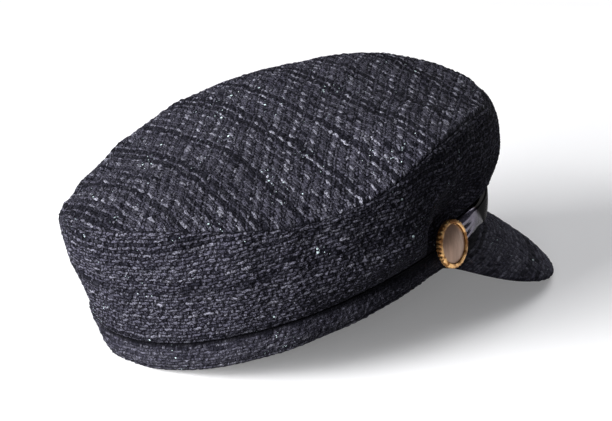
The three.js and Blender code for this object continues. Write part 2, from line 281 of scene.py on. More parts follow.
@dataclass(frozen=True)
class CapShape:
    """The cap's surfaces in its own frame, in millimetres."""

    crown: CrownSizes = CrownSizes()
    band: BandSizes = BandSizes()
    peak: PeakSizes = PeakSizes()
    strap: StrapSizes = StrapSizes()
    button: ButtonSizes = ButtonSizes()

    def section(self, column: str, angle: Array) -> Array:
        """A column of the section table at any angle, as a smooth curve that closes round the head.

        Args:
            column: The column's name.
            angle: Angles in degrees.

        Returns:
            The column's values at those angles.
        """
        values = np.array(SECTIONS)[:, SECTION_COLUMNS.index(column)]
        count = len(values)
        place = np.mod(np.asarray(angle, float), 360.0) / (360.0 / count)
        start = np.floor(place).astype(int)
        part = place - start
        before, here, following, after = (values[(start + step) % count] for step in (-1, 0, 1, 2))
        bend = 2 * before - 5 * here + 4 * following - after
        twist = 3 * (here - following) + after - before
        return here + 0.5 * part * (following - before + part * (bend + part * twist))

    def strap_stand_off(self, angle: Array) -> Array:
        """How far the strap's back stands off the band."""
        share = np.clip(1.0 - (angle / self.button.angle) ** 2, 0.0, 1.0) ** self.strap.hug_power
        return self.strap.end_stand_off + (self.strap.front_stand_off - self.strap.end_stand_off) * share

    def pressed_radius(self, angle: Array, height: Array) -> Array:
        """The largest radius that the strap and the buttons leave the side wall.

        Args:
            angle: Angles in degrees.
            height: Heights in millimetres.

        Returns:
            Radii in millimetres.
        """
        strap, button = self.strap, self.button
        side = signed(angle)
        band = self.section("band", angle)
        above = height - self.section("low", angle)
        past_button = np.radians(np.abs(side) - button.angle) * band
        over_strap = strap.slope_over * np.maximum(0.0, above - strap.height - strap.width / 2)
        past_strap = strap.slope_past * np.maximum(0.0, past_button)
        strap_limit = self.strap_stand_off(side) - strap.behind + over_strap + past_strap
        up = above - button.height
        outside = np.maximum(0.0, np.hypot(past_button, up) - button.radius - button.margin)
        lean = up * math.tan(math.radians(button.look_up))
        button_limit = button.stand_off - button.behind - lean + button.slope_past * outside
        return band + np.minimum(strap_limit, button_limit)

    def wall(self, angle: Array, step: Array) -> Array:
        """Outer face of the side wall: step 0 is its foot on the band, step 1 the top seam.

        Args:
            angle: Angles in degrees.
            step: Parts of the wall's height.

        Returns:
            Points in millimetres.
        """
        crown = self.crown
        foot = self.section("low", angle) + self.section("tall", angle) + crown.gap
        height = foot + (self.section("rise", angle) - foot) * step
        belly = self.section("belly", angle) * (crown.shoulder_at - step)
        shoulder = self.section("shoulder", angle) * (step - crown.belly_at)
        scale = crown.belly_at * crown.shoulder_at * (crown.shoulder_at - crown.belly_at)
        low_radius = self.section("band", angle)
        radius = low_radius + (self.section("seam", angle) - low_radius) * step
        radius = radius + step * (1 - step) * (belly + shoulder) / scale
        for fold in FOLDS:
            sideways = signed(angle - fold.angle) / fold.half_angle
            upwards = (step - fold.height) / fold.half_height
            radius = radius + fold.push * np.exp(-(sideways**2) - upwards**2)
        return around(angle, np.minimum(radius, self.pressed_radius(angle, height)), height)

    def groove(self, angle: Array) -> Array:
        """How many times wider the groove over the band is, which swells beside the buttons.

        Args:
            angle: Angles round the head in degrees.

        Returns:
            How many times wider it is, 1 or more.
        """
        crown = self.crown
        aside = (np.abs(signed(angle)) - crown.groove_angle) / crown.groove_spread
        return 1 + (crown.groove_growth - 1) * np.exp(-(aside**2))

    def top(self, angle: Array, step: Array) -> Array:
        """Outer face of the top panel: step 1 is its edge on the seam, step 0 its middle.

        Args:
            angle: Angles in degrees.
            step: Parts of the way from the middle to the seam.

        Returns:
            Points in millimetres.
        """
        crown = self.crown
        edge = self.wall(angle, np.ones_like(angle))
        middle = np.array((0.0, -crown.middle_forward, 0.0))
        points = middle + (edge - middle) * step[..., None]
        rim = (edge[..., 2] - crown.middle_height) * step**crown.rim_power
        dome = crown.dome * (1 - step**crown.dome_power)
        points[..., 2] = crown.middle_height + rim + dome + crown.top_gaps * crown.gap
        return points

    def peak_middle(self, angle: Array, distance: Array, thinning: Array) -> tuple[Array, Array]:
        """Middle face of the peak, a distance forward of the band.

        Args:
            angle: Angles in degrees.
            distance: Distances forward in millimetres.
            thinning: Parts of the full thickness.

        Returns:
            Points in millimetres and the face's normals.
        """
        peak = self.peak
        turn = np.radians(angle)
        sunk = self.crown.gap + peak.root_thickness * thinning / 2
        start = around(angle, self.section("band", angle), self.section("low", angle) - sunk)
        sideways = -peak.fan * np.sin(turn)
        length = np.hypot(sideways, 1.0)
        side = peak.side_droop * (1 - np.cos(turn))
        drop = (peak.slope + side) * distance + peak.curl * distance**2
        steepness = np.arctan(peak.slope + side + 2 * peak.curl * distance)
        forward = np.stack((sideways / length, -1.0 / length, np.zeros_like(length)), axis=-1)
        points = start + forward * distance[..., None]
        points[..., 2] -= drop
        normals = forward * np.sin(steepness)[..., None]
        normals[..., 2] = np.cos(steepness)
        return points, normals


@dataclass
class Placement:
    """Where the cap lies: it is tipped back and set down as its solids are."""

    tip: float = 11.4
    offset: Array = field(default_factory=lambda: np.zeros(3))

    def turned(self, points: Array) -> Array:
        """Points of the cap's own frame, tipped back about the head's cross axis.

        Args:
            points: The points.

        Returns:
            The turned points.
        """
        turn = -math.radians(self.tip)
        y, z = points[..., 1], points[..., 2]
        turned = np.array(points, float)
        turned[..., 1] = y * math.cos(turn) - z * math.sin(turn)
        turned[..., 2] = y * math.sin(turn) + z * math.cos(turn)
        return turned

    def match(self, points: Array, highest: Vector) -> None:
        """Sets the offset so that the points' highest corner is the solid's.

        Args:
            points: The solid's own points in the cap's frame, in millimetres.
            highest: The solid's highest corner in metres.
        """
        self.offset = np.array(highest) / MM - self.turned(points).reshape(-1, 3).max(axis=0)

    def world(self, points: Array) -> Array:
        """Points in metres where the cap lies. What would reach below the table is flattened on it.

        Args:
            points: Points in the cap's own frame, in millimetres.

        Returns:
            The points in metres.
        """
        placed = (self.turned(points) + self.offset) * MM
        placed[..., 2] = np.maximum(placed[..., 2], 0.0)
        return placed

    def matrix(self) -> Matrix:
        """The same place as a matrix, for meshes that are in metres."""
        return Matrix.Translation(Vector(self.offset * MM)) @ Matrix.Rotation(-math.radians(self.tip), 4, "X")


# A shader value in an expression: a wire or a plain number
Value = "Wire | float"


class Draw(Enum):
    """The weave's random draws, each with its seed."""

    FLOAT_TONE = 1.0
    WEFT_TONE = 2.0
    WARP_TONE = 3.0
    PALE_CHANCE = 4.0
    PALE_STRENGTH = 6.0


@dataclass(frozen=True)
class Wire:
    """A shader socket that adds Math nodes when it is used in an expression."""

    graph: "Graph"
    socket: bpy.types.NodeSocket

    def _math(self, operation: str, *values: Value) -> "Wire":
        """One Math node."""
        node = self.graph.node("ShaderNodeMath", {"operation": operation}, dict(enumerate(values)))
        return Wire(self.graph, node.outputs[0])

    def __add__(self, other: Value) -> "Wire":
        """The sum."""
        return self._math("ADD", self, other)

    __radd__ = __add__

    def __sub__(self, other: Value) -> "Wire":
        """The difference."""
        return self._math("SUBTRACT", self, other)

    def __rsub__(self, other: Value) -> "Wire":
        """The difference from a number."""
        return self._math("SUBTRACT", other, self)

    def __mul__(self, other: Value) -> "Wire":
        """The product."""
        return self._math("MULTIPLY", self, other)

    __rmul__ = __mul__

    def __truediv__(self, other: Value) -> "Wire":
        """The quotient."""
        return self._math("DIVIDE", self, other)

    def __mod__(self, other: Value) -> "Wire":
        """The remainder, which is never negative."""
        return self._math("FLOORED_MODULO", self, other)

    def __lt__(self, other: Value) -> "Wire":
        """1 where it is less, or else 0."""
        return self._math("LESS_THAN", self, other)

    def __gt__(self, other: Value) -> "Wire":
        """1 where it is more, or else 0."""
        return self._math("GREATER_THAN", self, other)

    def sine(self) -> "Wire":
        """The sine."""
        return self._math("SINE", self)

    def floor(self) -> "Wire":
        """The whole number below."""
        return self._math("FLOOR", self)

    def within(self, low: float, high: float) -> "Wire":
        """0 below low, 1 above high and a smooth step between them.

        Args:
            low: Where it starts to rise.
            high: Where it comes to 1.

        Returns:
            The step.
        """
        settings = {"interpolation_type": "SMOOTHSTEP"}
        inputs = {"Value": self, "From Min": low, "From Max": high}
        node = self.graph.node("ShaderNodeMapRange", settings, inputs)
        return Wire(self.graph, node.outputs["Result"])


def sine(value: "Array | Wire") -> "Array | Wire":
    """The sine of numbers or of a shader value."""
    return value.sine() if isinstance(value, Wire) else np.sin(value)


def floor(value: "Array | Wire") -> "Array | Wire":
    """The whole number below numbers or below a shader value."""
    return value.floor() if isinstance(value, Wire) else np.floor(value)


class Graph:
    """The node tree of one material."""

    def __init__(self, name: str) -> None:
        """Makes an empty material with its shader and output.

        Args:
            name: The material's name.
        """
        self.material = bpy.data.materials.new(name)
        self.material.use_nodes = True
        self.tree = self.material.node_tree
        self.tree.nodes.clear()
        self.shader = self.node("ShaderNodeBsdfPrincipled", {}, {})
        output = self.node("ShaderNodeOutputMaterial", {}, {})
        self.tree.links.new(self.shader.outputs[0], output.inputs["Surface"])

    def node(self, kind: str, settings: dict, inputs: dict) -> bpy.types.Node:
        """Adds a node.

        Args:
            kind: The node's type.
            settings: Its properties, set first. A ramp's stops are a list of (place, colour).
            inputs: Values or wires, by the name or number of their socket.

        Returns:
            The node.
        """
        node = self.tree.nodes.new(kind)
        for name, value in settings.items():
            if name == "stops":
                self._set_stops(node.color_ramp, value)
            else:
                setattr(node, name, value)
        for key, value in inputs.items():
            self.feed(node.inputs[key], value)
        return node

    def _set_stops(self, ramp: bpy.types.ColorRamp, stops: Sequence[tuple]) -> None:
        """Sets the stops of a colour ramp.

        Args:
            ramp: The ramp.
            stops: Its pairs of a place and a colour.
        """
        while len(ramp.elements) < len(stops):
            ramp.elements.new(1.0)
        for element, (place, colour) in zip(ramp.elements, stops):
            element.position = place
            element.color = (*colour, 1.0)

    def feed(self, socket: bpy.types.NodeSocket, value: object) -> None:
        """Links a wire to a socket, or sets its value.

        Args:
            socket: The socket.
            value: A wire or a value. Three numbers are a colour.
        """
        if isinstance(value, Wire):
            self.tree.links.new(value.socket, socket)
        elif isinstance(value, tuple) and len(value) == 3 and socket.type == "RGBA":
            socket.default_value = (*value, 1.0)
        else:
            socket.default_value = value

    def wire(self, node: bpy.types.Node, output: str | int = 0) -> Wire:
        """A wire from a node's output."""
        return Wire(self, node.outputs[output])

    def shade(self, **inputs: object) -> None:
        """Sets or links the shader's own sockets, with _ for a space in their names."""
        for name, value in inputs.items():
            self.feed(self.shader.inputs[name.replace("_", " ")], value)

    def attribute(self, name: str) -> tuple[Wire, Wire, Wire]:
        """The three parts of a mesh attribute."""
        node = self.node("ShaderNodeAttribute", {"attribute_name": name}, {})
        return self.split(self.wire(node, "Vector"))

    def split(self, vector: Wire) -> tuple[Wire, Wire, Wire]:
        """The X, Y and Z of a vector."""
        node = self.node("ShaderNodeSeparateXYZ", {}, {0: vector})
        return tuple(self.wire(node, axis) for axis in range(3))

    def join(self, x: Value, y: Value, z: Value = 0.0) -> Wire:
        """A vector of three values."""
        return self.wire(self.node("ShaderNodeCombineXYZ", {}, {0: x, 1: y, 2: z}))

    def random(self, x: Value, y: Value, draw: Draw) -> Wire:
        """A random value from 0 to 1 for each pair of whole numbers, its own for each draw."""
        inputs = {"Vector": self.join(x, y, draw.value)}
        return self.wire(self.node("ShaderNodeTexWhiteNoise", {"noise_dimensions": "3D"}, inputs), "Value")

    def place(self) -> Wire:
        """The place on the object, in metres."""
        return self.wire(self.node("ShaderNodeTexCoord", {}, {}), "Object")

    def noise(self, vector: Wire, scale: float, detail: float = 2.0, roughness: float = 0.5) -> Wire:
        """Smooth noise from 0 to 1."""
        inputs = {"Vector": vector, "Scale": scale, "Detail": detail, "Roughness": roughness}
        return self.wire(self.node("ShaderNodeTexNoise", {}, inputs), "Fac")

    def mix(self, share: Value, first: object, second: object) -> Wire:
        """A mix of two colours."""
        settings = {"data_type": "RGBA", "clamp_factor": True}
        return self.wire(self.node("ShaderNodeMix", settings, {0: share, 6: first, 7: second}), 2)

    def bump(self, height: Wire, depth: float) -> Wire:
        """A normal from heights of 0 to 1, which lie a depth in millimetres apart."""
        inputs = {"Height": height, "Distance": depth * MM, "Strength": 1.0}
        return self.wire(self.node("ShaderNodeBump", {}, inputs), "Normal")


@dataclass(frozen=True)
class Grain:
    """Smooth noise over cloth, which steps softly from 0 at low to 1 at high. Its seed sets it apart."""

    seed: float
    scale: float
    low: float
    high: float
    detail: float = 2.0
    roughness: float = 0.5

    def over(self, graph: Graph, u: Value, v: Value) -> Wire:
        """Its value at each place."""
        noise = graph.noise(graph.join(u, v, self.seed), self.scale, self.detail, self.roughness)
        return noise.within(self.low, self.high)


@dataclass(frozen=True)
class Weave:
    """A twill of thick, uneven yarns. Its places are in millimetres on the cloth.

    In a broken twill the third and fourth picks change places, so that the floats make no slanting lines.
    """

    pitch: float = 2.2
    pick_pitch: float = 1.6
    repeat: int = 4
    over: int = 3
    broken: bool = False
    length: float = 602.0
    sway: float = 0.42
    sway_across: tuple = (3, 0.11, 19, 0.37)
    sway_along: tuple = (5, -0.13, 31, 0.23)
    small_sway: float = 0.7
    lean: float = 0.65
    dip: float = 0.65
    roundness: float = 0.8

    def _swayed(self, u: "Array | Wire", v: "Array | Wire", waves: tuple) -> "Array | Wire":
        """A large wave and a small one, each given by its waves round the length and its turn per row.

        Args:
            u: Places along the weft in millimetres.
            v: Places along the warp in millimetres.
            waves: The large wave's count and turn, then the small one's.

        Returns:
            The waves' sum.
        """
        turn = TURN / self.length
        large, large_turn, small, small_turn = waves
        first = sine(large * turn * u + large_turn * v)
        return first + self.small_sway * sine(small * turn * u + small_turn * v)

    def wander(self, u: "Array | Wire", v: "Array | Wire") -> tuple:
        """Places moved a little sideways, so that no yarn runs straight. It closes round a length.

        Args:
            u: Places along the weft in millimetres.
            v: Places along the warp in millimetres.

        Returns:
            The moved places.
        """
        across = self._swayed(u, v, self.sway_across)
        along = self._swayed(u, v, self.sway_along)
        return u + self.sway * across, v + self.sway * along

    def floats(self, u: "Array | Wire", v: "Array | Wire") -> dict:
        """Which yarn lies on top at each place, and where on it the place is.

        Args:
            u: Places along the weft.
            v: Places along the warp.

        Returns:
            weft: 1 where the weft lies on top. along, across: the place on the float, from 0 to 1.
            column, row: whole numbers that name the float. end, pick: those of the yarns that cross there.
            line: the place across the twill's slanting lines.
        """
        u, v = self.wander(u, v)
        a, b = u / self.pitch, v / self.pick_pitch
        end, pick = floor(a), floor(b)
        shift = pick % float(self.repeat)
        if self.broken:
            shift = shift + (shift > 1.5) * (2 * self.repeat - 3 - 2 * shift)
        order = (end + shift) % float(self.repeat)
        weft = order < self.over
        warp = 1 - weft * 1.0
        behind = order - self.over * warp
        reach = self.over * weft + (self.repeat - self.over) * warp
        along = (behind + weft * (a - end) + warp * (b - pick)) / reach
        across = weft * (b - pick) + warp * (a - end) + self.lean * (along - 0.5)
        return {
            "weft": weft,
            "along": along,
            "across": across,
            "column": end - weft * behind,
            "row": pick - warp * behind,
            "end": end,
            "pick": pick,
            "line": a + b,
        }

    def height(self, floats: dict) -> "Array | Wire":
        """The height of the cloth, from 0 between the yarns to 1 on the middle of a float.

        Args:
            floats: The float on top at each place.

        Returns:
            The heights.
        """
        off_middle = 2 * floats["across"] - 1
        dome = 1 - self.roundness * off_middle * off_middle
        arch = 4 * floats["along"] * (1 - floats["along"])
        return dome * (1 - self.dip + self.dip * arch)

    def relief(self, u: Array, v: Array, reach: float = 0.3) -> Array:
        """The height for a mesh: the mean of some places within reach, so that it has no steps."""
        places = [(du, dv) for du in (-reach, 0.0, reach) for dv in (-reach, 0.0, reach)]
        return sum(self.height(self.floats(u + du, v + dv)) for du, dv in places) / len(places)


@dataclass(frozen=True)
class Tweed:
    """The tweed's finish: dark yarns of uneven colour, pale floats, black picks and silver flecks, with
    painted shade between the yarns, in the seams and in the grooves, and a painted glint on the flecks.

    Colours are linear. The valley, the crest, the middle and the rear are each given by a low and a high
    value: what lies below counts as 0 and what lies above as 1.
    """

    name: str
    pale_share: float
    pale_strength: float
    weave: Weave = Weave()
    # Painted shade colour: between the yarns, in the seams and in the grooves
    shadow: tuple = (0.0015, 0.0015, 0.003)
    black: tuple = (0.020, 0.020, 0.030)
    charcoal: tuple = (0.094, 0.091, 0.126)
    grey: tuple = (0.150, 0.147, 0.190)
    pale: tuple = (0.55, 0.55, 0.66)
    brightest: tuple = (0.55, 0.55, 0.66)
    # Painted glint: the colour of the real silver flecks as they catch the light
    fleck: tuple = (0.75, 0.92, 0.95)
    tones: tuple = (0.1, 0.34, 0.8, 1.0)
    own_tone: float = 0.6
    # Brightness of the piece, with painted light: copies of one tweed are set lighter or darker as light
    # falls on them
    painted_light_gain: float = 1.0
    softness: float = 0.0
    soft_level: float = 0.3
    valley: tuple = (0.1, 0.75)
    base: float = 0.04
    crest: tuple = (0.5, 0.75)
    middle: tuple = (0.2, 0.9)
    wander: float = 1.6
    wander_scale: float = 0.32
    wander_seed: float = 7.0
    strands: Grain = Grain(3.0, 1.0, 0.38, 0.6, 2.0, 0.6)
    strand_depth: float = 0.75
    strand_across: float = 2.2
    strand_along: float = 0.5
    fibres: Grain = Grain(23.0, 1.9, 0.43, 0.57, 2.0, 0.7)
    fibre_depth: float = 1.1
    fibre_level: float = 0.7
    clumps: Grain = Grain(41.0, 0.3, 0.35, 0.65, 1.0)
    clump_depth: float = 0.4
    threads: Grain = Grain(31.0, 1.0, 0.4, 0.6, 1.0)
    thread_depth: float = 0.5
    thread_level: float = 0.6
    thread_across: float = 1.5
    thread_along: float = 0.24
    patch_scale: float = 0.035
    patch_seed: float = 5.0
    patch_depth: float = 0.56
    line_strength: float = 0.0
    line_shift: float = 0.6
    pick_tone: float = 0.3
    # Painted shade on the warp floats: their light against the weft floats'
    warp_tone: float = 1.0
    pale_every: int = 3
    pale_spread: float = 0.6
    rear_fade: float = 0.0
    rear_window: tuple = (10.0, 65.0)
    black_every: int = 15
    black_picks: int = 1
    black_strength: float = 0.82
    black_on_weft: float = 0.8
    fleck_size: float = 2.6
    fleck_clusters: Grain = Grain(11.0, 0.06, 0.58, 0.7)
    fleck_kinds: tuple = ((1.0, 0.002, 0.05), (2.6, 0.0006, 0.08))
    spark: float = 0.1
    spark_spread: float = 0.16
    roughness: float = 0.85
    fleck_polish: float = 0.5
    relief: float = 0.9
    relief_shares: tuple = (0.5, 0.3, 0.2)

    def build(self) -> bpy.types.Material:
        """Makes the material. It reads the cloth attribute, which is in millimetres.

        Returns:
            The material.
        """
        graph = Graph(self.name)
        u, v, shade = graph.attribute("cloth")
        aside = graph.noise(graph.join(u, v), self.wander_scale) - 0.5
        along = graph.noise(graph.join(v, u, self.wander_seed), self.wander_scale) - 0.5
        floats = self.weave.floats(u + self.wander * aside, v + self.wander * along)
        height = self.weave.height(floats)
        weft = floats["weft"]
        drawn = self.strand_across - self.strand_along
        strand = self.strands.over(
            graph, u * (self.strand_across - drawn * weft), v * (self.strand_along + drawn * weft)
        )
        fibre = self.fibres.over(graph, u, v)
        light = self._light(graph, (u, v), floats, height.within(*self.valley), strand, fibre)
        # Painted shade: the yarn colour goes towards the shadow colour where less light is painted
        colour = graph.mix(light, self.shadow, self._yarn_colour(graph, floats))
        # Real silver flecks, with a painted glint as their colour
        fleck = self._flecks(graph, u, v)
        # Painted shade from the cloth attribute: the seams, the groove over the band and the hem
        colour = graph.mix(shade, graph.mix(fleck, colour, self.fleck), self.shadow)
        tall, fine, finest = self.relief_shares
        graph.shade(
            Base_Color=colour,
            Roughness=self.roughness - self.fleck_polish * fleck,
            Normal=graph.bump(height * tall + strand * fine + fibre * finest, self.relief),
            Specular_IOR_Level=0.05,
        )
        return graph.material

    def _light(
        self, graph: Graph, place: tuple[Wire, Wire], floats: dict, height: Wire, strand: Wire, fibre: Wire
    ) -> Wire:
        """How light each place is: painted shade in the valleys between the yarns and on the warp floats,
        with the yarns' own streaks, fibres, threads, clumps, picks and patches, and the piece's gain with its
        painted light.

        Args:
            graph: The material's nodes.
            place: The place on the cloth in millimetres.
            floats: The float that lies on top there.
            height: How high the place lies, from 0 in a valley to 1 on a crest.
            strand: The streaks along a yarn.
            fibre: The loose fibres.

        Returns:
            The light, where 1 is the yarn's own colour.
        """
        u, v = place
        weft = floats["weft"]
        clump = self.clumps.over(graph, u, v)
        thread = self.threads.over(graph, u * self.thread_across, v * self.thread_along)
        patch = graph.noise(graph.join(u, v, self.patch_seed), self.patch_scale)
        # Painted shade: places low between the yarns are darker
        light = self.base + (1 - self.base) * height
        light = light * (1 - self.strand_depth + self.strand_depth * strand)
        light = light * (self.fibre_level - self.fibre_depth / 2 + self.fibre_depth * fibre)
        light = light * (1 - self.thread_depth * (self.thread_level - thread))
        light = light * (1 - self.clump_depth / 2 + self.clump_depth * clump)
        light = light * (1 - self.pick_tone + 2 * self.pick_tone * self._pale_pick(floats))
        # Painted shade: the warp floats are made darker than the weft floats
        light = light * (self.warp_tone + (1 - self.warp_tone) * weft)
        light = light * (1 - self.softness) + self.soft_level * self.softness
        turn = TURN / (2 * self.weave.repeat)
        line = 1 + self.line_strength * sine(floats["line"] * turn + self.line_shift)
        return light * (1 - self.patch_depth / 2 + self.patch_depth * patch) * line * self.painted_light_gain

    def _pale_pick(self, floats: dict) -> Wire:
        """1 on the picks that hold the pale floats."""
        return (floats["pick"] % float(self.pale_every)) < 0.5

    def _black_picks(self, floats: dict) -> Wire:
        """1 on the black picks. Every second line of them has another line just before it.

        Args:
            floats: The float on top at each place.

        Returns:
            The mask.
        """
        every = float(self.black_every)
        line = (floats["pick"] + every - 1.0) % every < self.black_picks - 0.5
        line_before = floats["pick"] % (2 * every) > 2 * every - self.black_picks - 0.5
        return line + line_before

    def _yarn_colour(self, graph: Graph, floats: dict) -> Wire:
        """The colour of each float, from its own chance and its yarn's.

        Args:
            graph: The material's nodes.
            floats: The float on top at each place.

        Returns:
            The colour.
        """
        weft, column, row = floats["weft"], floats["column"], floats["row"]
        own = graph.random(column, row, Draw.FLOAT_TONE)
        weft_yarn = graph.random(0.0, floats["pick"], Draw.WEFT_TONE)
        warp_yarn = graph.random(floats["end"], 0.0, Draw.WARP_TONE)
        tone = self.own_tone * own + (1 - self.own_tone) * (weft * weft_yarn + (1 - weft) * warp_yarn)
        stops = list(zip(self.tones, (self.black, self.charcoal, self.grey, self.brightest)))
        colour = graph.wire(graph.node("ShaderNodeValToRGB", {"stops": stops}, {"Fac": tone}), "Color")
        on_line = ((column + row) % (2.0 * self.weave.repeat)) < 0.5
        chosen = graph.random(column, row, Draw.PALE_CHANCE) < self.pale_share
        middle = (4 * floats["along"] * (1 - floats["along"])).within(*self.middle)
        crest = self.weave.height(floats).within(*self.crest) * middle
        spread = self.pale_spread * graph.random(column, row, Draw.PALE_STRENGTH)
        strength = weft * self._pale_pick(floats) * on_line * chosen * crest * (1 - self.pale_spread + spread)
        fade = 1 - self.rear_fade * (row * self.weave.pick_pitch).within(*self.rear_window)
        colour = graph.mix(strength * fade * self.pale_strength, colour, self.pale)
        on_top = weft * self.black_on_weft + (1 - self.black_on_weft)
        return graph.mix(on_top * self._black_picks(floats) * self.black_strength, colour, self.black)

    def _flecks(self, graph: Graph, u: Wire, v: Wire) -> Wire:
        """1 on a silver fleck, whose pale colour is a painted glint. The flecks lie in loose clusters, and
        each kind has its own size.

        Args:
            graph: The material's nodes.
            u: Places along the weft in millimetres.
            v: Places along the warp in millimetres.

        Returns:
            The mask.
        """
        place = graph.join(u, v, self.fleck_clusters.seed)
        cluster = self.fleck_clusters.over(graph, u, v)
        sparks = 0.0
        for smaller, share, spread in self.fleck_kinds:
            settings = {"feature": "F1", "voronoi_dimensions": "2D"}
            inputs = {"Vector": place, "Scale": smaller / self.fleck_size}
            cells = graph.node("ShaderNodeTexVoronoi", settings, inputs)
            chance, width, _ = graph.split(graph.wire(cells, "Color"))
            few = chance < share + spread * cluster
            small = graph.wire(cells, "Distance") < self.spark + self.spark_spread * width
            sparks = few * small + sparks
        return sparks.within(0.0, 1.0)


@dataclass(frozen=True)
class Plain:
    """A plain dark cloth for the inside and the underside, with fine ribs. Its lengths are in millimetres."""

    name: str = "plain_cloth"
    colour: tuple = (0.012, 0.012, 0.018)
    paler: float = 2.2
    ribs: float = 1.4
    rib_share: float = 0.6
    grain: Grain = Grain(0.0, 1.6, 0.3, 0.7, 3.0)
    relief: float = 0.12

    def build(self) -> bpy.types.Material:
        """Makes the material. Its fine ribs run across the cloth.

        Returns:
            The material.
        """
        graph = Graph(self.name)
        u, v, _ = graph.attribute("cloth")
        ribs = 0.5 + 0.5 * sine((u + v) * (TURN * self.ribs))
        grain = graph.noise(graph.join(u, v), self.grain.scale, self.grain.detail)
        spots = grain.within(self.grain.low, self.grain.high)
        graph.shade(
            Base_Color=graph.mix(spots, self.colour, tuple(self.paler * part for part in self.colour)),
            Roughness=0.8,
            Normal=graph.bump(self.rib_share * ribs + (1 - self.rib_share) * grain, self.relief),
            Specular_IOR_Level=0.25,
        )
        return graph.material


@dataclass(frozen=True)
class Patent:
    """Glossy black patent with faint creases. The gloss attribute says where a pale reflection is painted on
    it and where it is coated.

    The scales are in swells and grains per metre, and the relief is in millimetres.
    """

    name: str = "black_patent"
    dark: tuple = (0.034, 0.029, 0.026)
    # Painted reflection colour, for the strap's flat part beside the buttons
    light: tuple = (0.2, 0.182, 0.235)
    edge: tuple = (0.035, 0.03, 0.028, 1.0)
    swell_scale: float = 90.0
    swell_share: float = 0.8
    grain_scale: float = 900.0
    grain_share: float = 0.05
    roughness: float = 0.2
    grain_roughness: float = 0.12
    thin_coat: float = 0.07
    full_coat: float = 0.7
    relief: float = 0.5

    def build(self) -> bpy.types.Material:
        """Makes the material.

        Returns:
            The material.
        """
        graph = Graph(self.name)
        place = graph.place()
        swell = graph.noise(place, self.swell_scale)
        grain = graph.noise(place, self.grain_scale)
        # pale says where the painted reflection lies
        pale, coated, _ = graph.attribute("gloss")
        graph.shade(
            Base_Color=graph.mix(pale, self.dark, self.light),
            Metallic=1.0,
            Roughness=self.roughness + self.grain_roughness * grain,
            Normal=graph.bump(swell * self.swell_share + grain * self.grain_share, self.relief),
            Specular_Tint=self.edge,
            Coat_Weight=self.thin_coat + self.full_coat * coated,
            Coat_Roughness=0.12,
        )
        return graph.material


@dataclass(frozen=True)
class Gold:
    """Gold metal with small tarnished patches. The scales are in patches and grains per metre."""

    name: str = "gold_metal"
    bright: tuple = (0.78, 0.47, 0.20)
    dull: tuple = (0.17, 0.055, 0.012)
    patch_scale: float = 330.0
    patch_window: tuple = (0.4, 0.6)
    patch_strength: float = 0.85
    grain_scale: float = 1500.0
    roughness: float = 0.36
    patch_roughness: float = 0.2
    relief: float = 0.04

    def build(self) -> bpy.types.Material:
        """Makes the material.

        Returns:
            The material.
        """
        graph = Graph(self.name)
        place = graph.place()
        tarnish = graph.noise(place, self.patch_scale, 3.0).within(*self.patch_window)
        graph.shade(
            Base_Color=graph.mix(tarnish * self.patch_strength, self.bright, self.dull),
            Metallic=1.0,
            Roughness=self.roughness + self.patch_roughness * tarnish,
            Normal=graph.bump(graph.noise(place, self.grain_scale), self.relief),
        )
        return graph.material


@dataclass(frozen=True)
class Enamel:
    """Taupe satin with faint brushed streaks. The scales are in streaks per metre, across and along them."""

    name: str = "taupe_satin"
    light: tuple = (0.42, 0.268, 0.19)
    dark: tuple = (0.33, 0.207, 0.145)
    across: float = 900.0
    along: float = 60.0
    streak_window: tuple = (0.3, 0.7)
    roughness: float = 0.3
    streak_roughness: float = 0.15
    relief: float = 0.03

    def build(self) -> bpy.types.Material:
        """Makes the material. The streaks run up the face.

        Returns:
            The material.
        """
        graph = Graph(self.name)
        x, y, z = graph.split(graph.place())
        streaks = graph.noise(graph.join(x * self.across, y * self.across, z * self.along), 1.0, 3.0)
        graph.shade(
            Base_Color=graph.mix(streaks.within(*self.streak_window), self.light, self.dark),
            Metallic=0.6,
            Roughness=self.roughness + self.streak_roughness * streaks,
            Normal=graph.bump(streaks, self.relief),
            Coat_Weight=0.2,
            Coat_Roughness=0.15,
        )
        return graph.material


